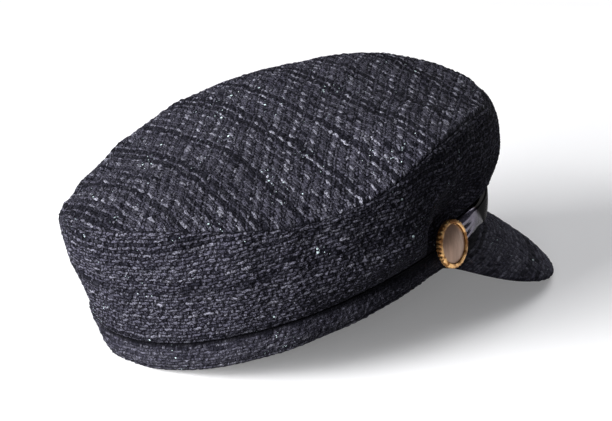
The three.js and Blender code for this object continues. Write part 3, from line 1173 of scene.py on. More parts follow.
class Shell:
    """A closed cloth body, gathered ring by ring and written as one mesh."""

    def __init__(self, name: str) -> None:
        """Starts an empty body.

        Args:
            name: The mesh's name.
        """
        self.name = name
        self.points: list[Array] = []
        self.cloth: list[Array] = []
        self.faces: list[Array] = []
        self.kinds: list[Array] = []
        self.count = 0

    def add(self, points: Array, cloth: Array) -> Array:
        """Adds a block of points.

        Args:
            points: Points in the cap's frame, in millimetres.
            cloth: For each point, its place on the cloth in millimetres and its painted shade.

        Returns:
            The points' numbers, in the block's own shape.
        """
        amount = int(np.prod(points.shape[:-1]))
        self.points.append(points.reshape(-1, 3))
        self.cloth.append(cloth.reshape(-1, 3))
        numbers = np.arange(self.count, self.count + amount).reshape(points.shape[:-1])
        self.count += amount
        return numbers

    def cover(self, numbers: Array, kind: int, round_rows: bool = False, round_columns: bool = False) -> None:
        """Adds the faces between the rows of a block.

        Args:
            numbers: A table of point numbers.
            kind: The number of the faces' material.
            round_rows: Whether the last row joins the first.
            round_columns: Whether the last column joins the first.
        """
        if round_rows:
            numbers = np.concatenate((numbers, numbers[:1]))
        if round_columns:
            numbers = np.concatenate((numbers, numbers[:, :1]), axis=1)
        here, right = numbers[:-1, :-1], numbers[:-1, 1:]
        up, up_right = numbers[1:, :-1], numbers[1:, 1:]
        self._keep(np.stack((here, right, up_right, up), axis=-1).reshape(-1, 4), kind)

    def narrow(self, fine: Array, coarse: Array, kind: int) -> None:
        """Joins a closed ring to another that has a whole number of times fewer points.

        Args:
            fine: The ring with more points.
            coarse: The other ring.
            kind: The faces' material number.
        """
        ratio = len(fine) // len(coarse)
        half = ratio // 2
        triangles = []
        for index, corner in enumerate(coarse):
            following = coarse[(index + 1) % len(coarse)]
            run = [fine[(index * ratio + step) % len(fine)] for step in range(ratio + 1)]
            for step in range(ratio):
                triangles.append((run[step], run[step + 1], corner if step < half else following))
            triangles.append((corner, run[half], following))
        self._keep(np.array(triangles), kind)

    def close(self, ring: Array, middle: int, kind: int) -> None:
        """Closes a ring with a fan from its middle point."""
        self._keep(np.stack((ring, np.roll(ring, -1), np.full_like(ring, middle)), axis=-1), kind)

    def _keep(self, faces: Array, kind: int) -> None:
        """Keeps faces and their material."""
        self.faces.append(faces)
        self.kinds.append(np.full(len(faces), kind))

    def build(self, placement: Placement, materials: Sequence[bpy.types.Material]) -> bpy.types.Object:
        """Writes the mesh where the cap lies, with every face pointing out.

        Args:
            placement: Where the cap lies.
            materials: The materials, in the order of their numbers.

        Returns:
            The object.
        """
        points = placement.world(np.concatenate(self.points))
        faces = [tuple(face) for block in self.faces for face in block.tolist()]
        mesh = bpy.data.meshes.new(self.name)
        mesh.from_pydata(points.tolist(), [], faces)
        for material in materials:
            mesh.materials.append(material)
        mesh.polygons.foreach_set("material_index", np.concatenate(self.kinds).astype(np.int32))
        mesh.polygons.foreach_set("use_smooth", np.ones(len(faces), dtype=bool))
        cloth = mesh.attributes.new("cloth", "FLOAT_VECTOR", "POINT")
        cloth.data.foreach_set("vector", np.concatenate(self.cloth).astype(np.float32).ravel())
        piece = bpy.data.objects.new(self.name, mesh)
        bpy.context.scene.collection.objects.link(piece)
        face_out(piece)
        return piece


def only_nothing() -> None:
    """Deselects every object."""
    bpy.ops.object.select_all(action="DESELECT")


def only(piece: bpy.types.Object) -> None:
    """Selects one object alone and makes it active.

    Args:
        piece: The object.
    """
    only_nothing()
    piece.select_set(True)
    bpy.context.view_layer.objects.active = piece


def face_out(piece: bpy.types.Object) -> None:
    """Turns a closed mesh's faces outwards by hand: all of them, if its volume comes out negative.

    Args:
        piece: The object.
    """
    mesh = piece.data
    corners = np.empty(len(mesh.vertices) * 3)
    mesh.vertices.foreach_get("co", corners)
    points = corners.reshape(-1, 3)
    mesh.calc_loop_triangles()
    numbers = np.empty(len(mesh.loop_triangles) * 3, dtype=np.int32)
    mesh.loop_triangles.foreach_get("vertices", numbers)
    a, b, c = (points[part] for part in numbers.reshape(-1, 3).T)
    if np.einsum("ij,ij->i", a, np.cross(b, c)).sum() < 0:
        mesh.flip_normals()


def grid_normals(points: Array, round_rows: bool, round_columns: bool) -> Array:
    """Unit normals of a table of points.

    Args:
        points: A table of points.
        round_rows: Whether the last row joins the first.
        round_columns: Whether the last column joins the first.

    Returns:
        A table of normals, along the rows' direction crossed with the columns'.
    """
    padded = points
    if round_rows:
        padded = np.concatenate((padded[-1:], padded, padded[:1]))
    if round_columns:
        padded = np.concatenate((padded[:, -1:], padded, padded[:, :1]), axis=1)
    along = np.gradient(padded, axis=0)
    across = np.gradient(padded, axis=1)
    normals = np.cross(across, along)
    if round_rows:
        normals = normals[1:-1]
    if round_columns:
        normals = normals[:, 1:-1]
    return normals / np.maximum(np.linalg.norm(normals, axis=-1, keepdims=True), 1e-9)


@dataclass(frozen=True)
class Unevenness:
    """Soft waves of heavy cloth: the sum of some turned sine waves, with fixed seeds."""

    size: float
    depth: float
    seed: int
    waves: int = 9
    shortest: float = 0.7
    longest: float = 1.6

    def at(self, u: Array, v: Array) -> Array:
        """Heights in millimetres at places in millimetres.

        Args:
            u: Places along the weft in millimetres.
            v: Places along the warp in millimetres.

        Returns:
            The heights.
        """
        chance = np.random.default_rng(self.seed)
        total = np.zeros(np.broadcast(u, v).shape)
        for _ in range(self.waves):
            heading = chance.uniform(0.0, TURN)
            length = self.size * chance.uniform(self.shortest, self.longest)
            phase = chance.uniform(0.0, TURN)
            total += np.sin((u * math.cos(heading) + v * math.sin(heading)) * TURN / length + phase)
        return total * self.depth / math.sqrt(self.waves / 2)


@dataclass(frozen=True)
class ClothSurface:
    """How a cloth surface rises from its pattern: the weave's own relief and its unevenness."""

    weave: Weave = Weave()
    weave_depth: float = 0.35
    weave_level: float = 0.4
    slubs: Unevenness = Unevenness(3.6, 0.17, 3)
    waves: Unevenness = Unevenness(24.0, 0.28, 4)

    def rise(self, u: Array, v: Array) -> Array:
        """How far each place rises, in millimetres."""
        weave = self.weave_depth * (self.weave.relief(u, v) - self.weave_level)
        return weave + self.slubs.at(u, v) + self.waves.at(u, v)


@dataclass
class Crown:
    """The crown: its top panel and its side wall."""

    shape: CapShape
    placement: Placement
    top_surface: ClothSurface
    side_surface: ClothSurface
    top_cells: int = 304
    wall_columns: int = 860
    wall_rows: int = 98
    inside_ratio: int = 4
    inside_rows: int = 9
    inside_top: float = 0.96
    panel_edge: float = 0.97
    panel_rings: tuple = (0.86, 0.7, 0.5, 0.3)

    def top_panel(self, materials: Sequence[bpy.types.Material]) -> bpy.types.Object:
        """Builds the top panel: a fine square grid drawn onto the panel, with a plain inside.

        Args:
            materials: The tweed and the plain cloth.

        Returns:
            The panel.
        """
        shape, crown = self.shape, self.shape.crown
        line = np.linspace(-1.0, 1.0, self.top_cells + 1)
        a, b = np.meshgrid(line, line, indexing="ij")
        x, y = a * np.sqrt(1 - b * b / 2), b * np.sqrt(1 - a * a / 2)
        angle, step = np.degrees(np.arctan2(-x, -y)), np.minimum(np.hypot(x, y), 1.0)
        points = shape.top(angle, step)
        edge = shape.wall(angle, np.ones_like(angle))
        to_edge = np.hypot(points[..., 0] - edge[..., 0], points[..., 1] - edge[..., 1])
        grain = math.radians(crown.grain_turn)
        along = points[..., 0] * math.cos(grain) - points[..., 1] * math.sin(grain)
        across = points[..., 1] * math.cos(grain) + points[..., 0] * math.sin(grain)
        cloth = np.stack((along, across, np.zeros_like(step)), axis=-1)
        normals = grid_normals(points, False, False)
        normals *= np.sign(normals[..., 2:3])
        turned = tuck(to_edge, crown.seam_width)
        rise = self.top_surface.rise(cloth[..., 0], cloth[..., 1]) * (1 - turned)
        points = points + normals * rise[..., None]
        points = self._tucked(points, angle, turned, crown.seam_sink, crown.seam_tuck)
        # Painted shade in the seam round the panel
        cloth[..., 2] = crown.seam_painted_shade * turned**2
        shell = Shell("crown_top_cloth")
        numbers = shell.add(points, cloth)
        shell.cover(numbers, 0)
        rim = np.concatenate((numbers[:-1, 0], numbers[-1, :-1], numbers[:0:-1, -1], numbers[0, :0:-1]))
        self._top_inside(shell, rim, angle, numbers)
        return shell.build(self.placement, materials)

    def _tucked(self, points: Array, angle: Array, turned: Array, sink: float, inwards: float) -> Array:
        """Points moved down and towards the middle of the head where the cloth turns into a seam.

        Args:
            points: The points.
            angle: Angles round the head in degrees.
            turned: How far each has turned in, from 0 to 1.
            sink: How far down the cloth goes at the seam, in millimetres.
            inwards: How far in it goes there.

        Returns:
            The moved points.
        """
        moved = points + outwards(angle, -inwards * turned)
        moved[..., 2] -= sink * turned
        return moved

    def _top_inside(self, shell: Shell, rim: Array, angle: Array, numbers: Array) -> None:
        """Adds the plain inside of the top panel, from its rim to its middle.

        Args:
            shell: The body.
            rim: The point numbers round the panel's rim.
            angle: The angles of the outer face's points.
            numbers: The outer face's point numbers.
        """
        shape, crown = self.shape, self.shape.crown
        order = np.empty(shell.count)
        order[numbers.ravel()] = angle.ravel()
        rim_angle = order[rim]
        previous = self._inside_ring(shell, rim, rim_angle, 1.0)
        for step in (self.panel_edge, *self.panel_rings):
            previous = self._inside_ring(shell, previous, rim_angle[:: self.inside_ratio], step)
        middle = shape.top(np.zeros(1), np.zeros(1)) - np.array((0.0, 0.0, crown.cloth))
        centre = shell.add(middle, np.zeros((1, 3)))
        shell.close(previous, int(centre[0]), 1)

    def _inside_ring(self, shell: Shell, previous: Array, angles: Array, step: float) -> Array:
        """Adds one ring of the top panel's inside and joins it to the ring before.

        Args:
            shell: The body.
            previous: The ring before.
            angles: Angles round the head in degrees.
            step: The part of the way from the middle to the seam.

        Returns:
            The ring's point numbers.
        """
        crown = self.shape.crown
        points = self.shape.top(angles, np.full_like(angles, step))
        points = points + outwards(angles, -crown.cloth * step)
        points[..., 2] -= crown.cloth
        cloth = np.stack((points[..., 0], points[..., 1], np.zeros_like(angles)), axis=-1)
        ring = shell.add(points, cloth)
        if len(ring) == len(previous):
            shell.cover(np.stack((previous, ring)), 1, round_columns=True)
        else:
            shell.narrow(previous, ring, 1)
        return ring

    def side_wall(self, materials: Sequence[bpy.types.Material]) -> bpy.types.Object:
        """Builds the side wall: a fine outer face and a plain inside.

        Args:
            materials: The tweed and the plain cloth.

        Returns:
            The wall.
        """
        shape, crown = self.shape, self.shape.crown
        angles = even_angles(lambda angle: shape.wall(angle, np.full_like(angle, 0.5)), self.wall_columns)
        line = np.linspace(0.0, 1.0, self.wall_rows)
        step, angle = np.meshgrid(line, angles, indexing="ij")
        points = shape.wall(angle, step)
        lengths = np.linalg.norm(np.diff(points, axis=0), axis=-1)
        height = np.concatenate((np.zeros((1, len(angles))), np.cumsum(lengths, axis=0)))
        along = np.linspace(0.0, self.side_surface.weave.length, self.wall_columns, endpoint=False)
        u = np.broadcast_to(along, height.shape)
        top_tuck = tuck(height[-1] - height, crown.seam_width)
        groove = shape.groove(angle)
        foot_tuck = tuck(height, crown.seam_width * groove)
        normals = grid_normals(points, False, True)
        normals *= np.sign(np.sum(normals[..., :2] * points[..., :2], axis=-1, keepdims=True))
        still = (1 - top_tuck) * (1 - foot_tuck)
        points = points + normals * (self.side_surface.rise(u, height) * still)[..., None]
        points = self._tucked(points, angle, top_tuck, crown.seam_tuck, crown.seam_sink)
        deep = crown.seam_tuck * np.minimum(groove, crown.groove_depth)
        points = self._tucked(points, angle, foot_tuck, 0.0, deep)
        # Painted shade in the top seam and painted shadow in the groove over the band
        dark = crown.seam_painted_shade * top_tuck**2 + crown.foot_painted_shadow * foot_tuck**crown.foot_painted_shadow_power
        cloth = np.stack((u, height, dark), axis=-1)
        shell = Shell("crown_side_cloth")
        numbers = shell.add(points, cloth)
        shell.cover(numbers, 0, round_columns=True)
        self._wall_inside(shell, numbers, angles, along)
        return shell.build(self.placement, materials)

    def _wall_inside(self, shell: Shell, numbers: Array, angles: Array, along: Array) -> None:
        """Adds the plain inside of the side wall, from the top seam down to the foot.

        Args:
            shell: The body.
            numbers: The outer face's point numbers.
            angles: Angles round the head in degrees.
            along: The places along the cloth, for each angle.
        """
        coarse = angles[:: self.inside_ratio]
        coarse_along = along[:: self.inside_ratio]
        line = np.linspace(self.inside_top, 0.0, self.inside_rows)
        step, angle = np.meshgrid(line, coarse, indexing="ij")
        outer = self.shape.wall(angle, step)
        points = outer + outwards(angle, -self.shape.crown.cloth)
        across = np.broadcast_to(coarse_along, angle.shape)
        cloth = np.stack((across, outer[..., 2], np.zeros_like(angle)), axis=-1)
        inside = shell.add(points, cloth)
        shell.narrow(numbers[-1], inside[0], 1)
        shell.cover(inside, 1, round_columns=True)
        shell.narrow(numbers[0], inside[-1], 1)


def even_angles(ring: Callable[[Array], Array], count: int) -> Array:
    """Angles at which points lie evenly along a closed ring.

    Args:
        ring: Gives the ring's points at some angles.
        count: How many angles there are.

    Returns:
        The angles, from the front.
    """
    samples = np.linspace(0.0, 360.0, RING_SAMPLES)
    points = ring(samples)
    run = np.concatenate(([0.0], np.cumsum(np.linalg.norm(np.diff(points, axis=0), axis=-1))))
    return np.interp(np.linspace(0.0, run[-1], count, endpoint=False), run, samples)


@dataclass
class Headband:
    """The headband, turned under at its lower edge."""

    shape: CapShape
    placement: Placement
    surface: ClothSurface
    columns: int = 860
    rows: int = 30
    inside_ratio: int = 4
    weave_shift: float = 400.0
    # The inner face from its lower edge up: the part of the taper, the way out and the part of the height
    inner_face: tuple = ((1.0, 0.5, 0.0), (1.0, 0.0, 0.12), (1.0, 0.0, 0.3), (0.0, -0.4, 0.75))

    def build(self, materials: Sequence[bpy.types.Material]) -> bpy.types.Object:
        """Builds the band: its fine outer face, its turned edge and its plain inside.

        Args:
            materials: The tweed and the plain cloth.

        Returns:
            The band.
        """
        shape, band = self.shape, self.shape.band
        angles = even_angles(lambda angle: outwards(angle, shape.section("band", angle)), self.columns)
        line = np.linspace(1.0, 0.0, self.rows)
        step, angle = np.meshgrid(line, angles, indexing="ij")
        tall = shape.section("tall", angle)
        up = tall * step
        lean = band.taper * np.clip(1 - step / band.straight_part, 0.0, 1.0) ** band.lean_power
        inset = lean + band.turn_in * tuck(up, band.turn_height)
        groove = np.exp(-(((up - band.hem_height) / band.hem_width) ** 2))
        inset = inset + band.hem_depth * groove
        points = around(angle, shape.section("band", angle) - inset, shape.section("low", angle) + up)
        along = np.linspace(0.0, self.surface.weave.length, self.columns, endpoint=False)
        u = np.broadcast_to(along, up.shape)
        reach = shape.crown.seam_width * shape.groove(angle)
        top_tuck = tuck(tall - up, reach)
        # Painted shadow on the band's upper part under the wall's foot, wider beside the buttons
        shadow = np.clip(band.shadow_growth * (1 - (tall - up) / reach), 0.0, 1.0)
        rise = self.surface.rise(u, up) * (1 - top_tuck) * (1 - band.hem_still * groove)
        points = points + outwards(angle, rise)
        points = points + outwards(angle, -shape.crown.seam_tuck * top_tuck)
        # Painted shade: the painted shadow under the wall and the painted shade in the hem groove
        dark = np.minimum(band.deepest_painted_shade, band.deepest_painted_shade * shadow + band.hem_painted_shade * groove)
        cloth = np.stack((u, up + self.weave_shift, dark), axis=-1)
        shell = Shell("band_cloth")
        numbers = shell.add(points, cloth)
        shell.cover(numbers, 0, round_columns=True)
        self._inside(shell, numbers, angles, along)
        return shell.build(self.placement, materials)

    def _inside(self, shell: Shell, numbers: Array, angles: Array, along: Array) -> None:
        """Adds the band's plain underside, inner face and upper edge, with a lip behind the wall's foot.

        Args:
            shell: The body.
            numbers: The outer face's point numbers.
            angles: Angles round the head in degrees.
            along: The places along the cloth, for each angle.
        """
        shape, band = self.shape, self.shape.band
        angle = angles[:: self.inside_ratio]
        low, tall, radius = (shape.section(name, angle) for name in ("low", "tall", "band"))
        across = along[:: self.inside_ratio]
        foot = shape.wall(angle, np.zeros_like(angle))
        lip = np.hypot(foot[:, 0], foot[:, 1]) - shape.crown.cloth - shape.crown.gap
        inner = radius - band.thickness
        profile = [(inner - share * band.taper + out, part * tall) for share, out, part in self.inner_face]
        profile.append((lip - band.lip_thickness, tall + band.lip_height))
        profile.append((lip, tall + band.lip_height))
        profile.append((lip, tall))
        rings = []
        for out, up in profile:
            points = around(angle, out, low + up)
            cloth = np.stack((across, up, np.zeros_like(angle)), axis=-1)
            rings.append(shell.add(points, cloth))
        shell.narrow(numbers[-1], rings[0], 1)
        shell.cover(np.stack(rings), 1, round_columns=True)
        shell.narrow(numbers[0], rings[-1], 1)


@dataclass
class Peak:
    """The curved cloth-covered peak."""

    shape: CapShape
    placement: Placement
    surface: ClothSurface
    sections: int = 240
    upper_points: int = 72
    edge_points: int = 8
    lower_points: int = 22
    weave_turn: float = 400.0
    look_ahead: float = 0.01
    end_fade: float = 4.0
    edge_fade: float = 0.1

    def build(self, materials: Sequence[bpy.types.Material]) -> bpy.types.Object:
        """Builds the peak from closed sections: its upper face, rounded edge, underside and root.

        Args:
            materials: The tweed and the plain cloth.

        Returns:
            The peak.
        """
        shape, peak = self.shape, self.shape.peak
        across = np.sin(np.linspace(-1.0, 1.0, self.sections) * math.pi / 2)
        angle = peak.half_angle * across
        reach = np.maximum(0.0, 1 - np.abs(across) ** peak.side_power) ** (1 / peak.front_power)
        depth = peak.end_depth + (peak.depth - peak.end_depth) * reach
        thinning = peak.end_thinning + (1 - peak.end_thinning) * reach
        half_edge = peak.edge_thickness * thinning / 2
        rows = []
        cloths = []
        for step, swing in self._profile():
            distance = (depth - half_edge) * step
            middle, normal = shape.peak_middle(angle, distance, thinning)
            thickness = (peak.root_thickness + (peak.edge_thickness - peak.root_thickness) * step) * thinning
            ahead, _ = shape.peak_middle(angle, distance + self.look_ahead, thinning)
            forward = (ahead - middle) / np.linalg.norm(ahead - middle, axis=-1, keepdims=True)
            side = normal * math.sin(swing) + forward * math.cos(swing)
            rows.append(middle + side * (thickness / 2)[:, None])
            run = distance + half_edge * (math.pi / 2 - swing)
            cloths.append(np.stack((middle[:, 0] + self.weave_turn, run, np.zeros_like(angle)), axis=-1))
        points, cloth = np.stack(rows), np.stack(cloths)
        upper = self.upper_points + self.edge_points
        outward = grid_normals(points[:upper], False, False)
        outward *= np.sign(outward[self.upper_points // 2, self.sections // 2, 2])
        rise = self.surface.rise(cloth[:upper, :, 0], cloth[:upper, :, 1])
        fade = np.linspace(1.0, 0.0, upper)[:, None] ** self.edge_fade
        fade = np.minimum(1.0, reach * self.end_fade)[None, :] * fade
        points[:upper] += outward * (rise * fade)[..., None]
        shell = Shell("peak_cloth")
        numbers = shell.add(points, cloth)
        shell.cover(numbers[:upper], 0)
        shell.cover(numbers[upper - 1 :], 1)
        self._root(shell, numbers, angle, thinning)
        return shell.build(self.placement, materials)

    def _profile(self) -> list[tuple[float, float]]:
        """Steps forward and the swing of the surface from flat ahead: up, round the edge and back below.

        Returns:
            Pairs of a step and a swing in radians.
        """
        upper = [(step, math.pi / 2) for step in np.linspace(0.0, 1.0, self.upper_points)]
        edge = [(1.0, swing) for swing in np.linspace(math.pi / 2, -math.pi / 2, self.edge_points + 2)[1:-1]]
        lower = [(step, -math.pi / 2) for step in np.linspace(1.0, 0.0, self.lower_points)]
        return upper + edge + lower

    def _root(self, shell: Shell, numbers: Array, angle: Array, thinning: Array) -> None:
        """Adds the root under the band, with a lip behind the band, and closes the peak's two ends.

        Args:
            shell: The body.
            numbers: The outer face's point numbers.
            angle: Angles round the head in degrees.
            thinning: Parts of the full thickness.
        """
        shape, band, peak = self.shape, self.shape.band, self.shape.peak
        lip = shape.section("band", angle) - band.taper - band.thickness - shape.crown.gap
        low = shape.section("low", angle)
        top = low - shape.crown.gap
        bottom = top - peak.root_thickness * thinning
        corners = (
            (lip - peak.lip_thickness, bottom),
            (lip - peak.lip_thickness, low + peak.lip_height),
            (lip, low + peak.lip_height),
            (lip, top),
        )
        block = np.stack([around(angle, out, height) for out, height in corners])
        cloth = np.stack((block[..., 0], block[..., 1], np.zeros(block.shape[:-1])), axis=-1)
        root = shell.add(block, cloth)
        shell.cover(np.concatenate((numbers[-1:], root, numbers[:1])), 1)
        whole = np.concatenate((numbers, root))
        for column in (0, -1):
            ring = whole[:, column]
            points = np.concatenate(shell.points)[ring]
            middle = shell.add(points.mean(axis=0, keepdims=True), np.zeros((1, 3)))
            shell.close(ring[::-1] if column == 0 else ring, int(middle[0]), 1)


@dataclass
class Strap:
    """The glossy strap over the band, gathered where it goes under the buttons."""

    shape: CapShape
    placement: Placement
    length_steps: int = 220
    width_steps: int = 30
    rounding: float = 0.35
    crease_depth: float = 2.2
    pleats: float = 3.0
    pleat_shift: float = 0.6
    pleat_reach: float = 23.0
    lean_from: float = 39.5
    lean_slant: float = 3.0
    lean_run: float = 3.0
    lean_depth: float = 0.8
    curl_from: float = 0.78
    curl_depth: float = 2.2
    curl_power: float = 1.6
    curl_before: float = 0.3
    bulge: float = 0.4
    sag: float = 0.35
    sag_turn: float = 0.11
    sag_shift: float = 0.8
    front_from: float = 22.0
    front_run: float = 12.0
    # Painted shade in the pleat valleys near the buttons
    valley_shade: float = 0.92
    valley_power: float = 1.5
    shade_growth: float = 3.0
    shade_late: float = 0.35

    def _end(self) -> float:
        """Where the strap ends.

        Returns:
            The angle round the head in degrees.
        """
        button = self.shape.button.angle
        radius = float(self.shape.section("band", button))
        return button - math.degrees(self.shape.strap.end_to_button / radius)

    def _turned(self, angle: Array, across: Array) -> Array:
        """How far the strap has turned away in front of the crease: 0 beside the button, 1 before it.

        Args:
            angle: Angles round the head in degrees.
            across: Places across the strap, from -1 at its lower edge to 1 at its upper edge.

        Returns:
            How far each place has turned.
        """
        from_crease = self.lean_from + self.lean_slant * across - np.abs(angle)
        turned = np.clip(from_crease / self.lean_run, 0.0, 1.0)
        return turned * turned * (3.0 - 2.0 * turned)

    def _gathers(self, angle: Array, across: Array) -> tuple[Array, Array]:
        """How far the strap is gathered, 1 at its end, and how deep each place lies between the pleats.

        Args:
            angle: Angles round the head in degrees.
            across: Places across the strap, from -1 at its lower edge to 1 at its upper edge.

        Returns:
            How gathered and how deep each place is, both from 0 to 1.
        """
        to_end = np.radians(self._end() - np.abs(angle)) * self.shape.section("band", angle)
        gathered = np.clip(1 - to_end / self.pleat_reach, 0.0, 1.0)
        return gathered, 0.5 - 0.5 * np.cos(across * math.pi * self.pleats + self.pleat_shift)

    def _painted_reflection_and_coat(self, along: Array, across: Array) -> Array:
        """How much painted reflection and how much coat the strap has at each place, with a third part that
        stays 0.

        Args:
            along: Places along the strap, from -1 to 1.
            across: Places across the strap, from -1 at its lower edge to 1 at its upper edge.

        Returns:
            The gloss attribute's values.
        """
        angle = self._end() * along
        gathered, valley = self._gathers(angle, across)
        # Painted shade in the pleat valleys
        shade = np.clip(gathered * self.shade_growth - self.shade_late, 0.0, 1.0) * valley**self.valley_power
        # Painted reflection on the flat part beside the buttons
        pale = (1 - self._turned(angle, across)) * (1 - self.valley_shade * shade)
        front = np.clip((self.front_from - np.abs(angle)) / self.front_run, 0.0, 1.0)
        return np.stack((pale, np.maximum(pale, front), np.zeros_like(pale)), axis=-1)

    def build(self, material: bpy.types.Material) -> bpy.types.Object:
        """Builds the strap: a flat grid is laid along the band, then thickened, bevelled and smoothed.

        Args:
            material: The finish.

        Returns:
            The strap.
        """
        only_nothing()
        steps = {"x_subdivisions": self.length_steps, "y_subdivisions": self.width_steps}
        bpy.ops.mesh.primitive_grid_add(size=2, **steps)
        piece = bpy.context.active_object
        piece.name = piece.data.name = "strap_patent"
        flat = np.empty(len(piece.data.vertices) * 3)
        piece.data.vertices.foreach_get("co", flat)
        flat = flat.reshape(-1, 3)
        points = self._laid(flat[:, 0], flat[:, 1]) * MM
        piece.data.vertices.foreach_set("co", points.ravel())
        gloss = piece.data.attributes.new("gloss", "FLOAT_VECTOR", "POINT")
        gloss.data.foreach_set("vector", self._painted_reflection_and_coat(flat[:, 0], flat[:, 1]).ravel())
        piece.data.materials.append(material)
        thicken(piece, self.shape.strap.end_thickness * MM, self.rounding * MM)
        piece.data.transform(self.placement.matrix())
        bpy.ops.object.shade_smooth()
        face_out(piece)
        return piece

    def _laid(self, along: Array, across: Array) -> Array:
        """The strap's outer face.

        Args:
            along: Places along the strap, from -1 at the wearer's left end to 1 at the right end.
            across: Places across it, from -1 at its lower edge to 1 at its upper edge.

        Returns:
            Points in millimetres.
        """
        shape, strap = self.shape, self.shape.strap
        end = self._end()
        angle = end * along
        radius = shape.section("band", angle)
        to_end = np.radians(end - np.abs(angle)) * radius
        gathered, valley = self._gathers(angle, across)
        waist = strap.waist_depth * np.exp(-(((to_end - strap.waist_at) / strap.waist_reach) ** 2))
        half = (strap.width - waist) / 2
        thickness = strap.thickness + (strap.end_thickness - strap.thickness) * gathered
        ripple = self.crease_depth * gathered * valley
        bulge = self.bulge * (1 - across**2) * (1 - gathered)
        turned = self._turned(angle, across)
        lean = self.lean_depth * turned * across
        over_edge = np.clip((across - self.curl_from) / (1 - self.curl_from), 0.0, 1.0)
        curled = self.curl_before + (1 - self.curl_before) * turned
        curl = self.curl_depth * over_edge**self.curl_power * curled
        out = shape.strap_stand_off(angle) + thickness - self.rounding + bulge - ripple + lean - curl
        sag = self.sag * np.sin(angle * self.sag_turn + self.sag_shift) * (1 - gathered)
        height = shape.section("low", angle) + strap.height + waist / 2 + half * across + sag
        return around(angle, radius + out, height)


def round_edges(piece: bpy.types.Object, width: float, segments: int, angle: float) -> None:
    """Adds a bevel to a piece's edges.

    Args:
        piece: The piece.
        width: The bevel's width in metres.
        segments: How many faces it has across.
        angle: The least angle of an edge that it rounds, in degrees.
    """
    bevel = piece.modifiers.new("rounding", "BEVEL")
    bevel.width = width
    bevel.segments = segments
    bevel.limit_method = "ANGLE"
    bevel.angle_limit = math.radians(angle)


def apply_all(piece: bpy.types.Object) -> None:
    """Applies modifiers in their order.

    Args:
        piece: The object that has them.
    """
    only(piece)
    for modifier in list(piece.modifiers):
        bpy.ops.object.modifier_apply(modifier=modifier.name)


def thicken(piece: bpy.types.Object, thickness: float, rounding: float) -> None:
    """Gives a sheet its thickness behind it and rounds its edges, with modifiers that are applied.

    Args:
        piece: The sheet.
        thickness: Its thickness in metres.
        rounding: The bevel's width in metres.
    """
    solid = piece.modifiers.new("thickness", "SOLIDIFY")
    solid.thickness = thickness
    solid.offset = -1.0
    round_edges(piece, rounding, 3, 50.0)
    apply_all(piece)


def select_faces(piece: bpy.types.Object, wanted: Callable[[bpy.types.MeshPolygon], bool]) -> None:
    """Selects the faces that a test wants and no others, and enters edit mode on them.

    Args:
        piece: The object.
        wanted: The test.
    """
    bpy.ops.object.mode_set(mode="OBJECT")
    for kind in (piece.data.vertices, piece.data.edges, piece.data.polygons):
        kind.foreach_set("select", np.zeros(len(kind), dtype=bool))
    for face in piece.data.polygons:
        face.select = wanted(face)
    bpy.ops.object.mode_set(mode="EDIT")
    bpy.ops.mesh.select_mode(type="FACE")


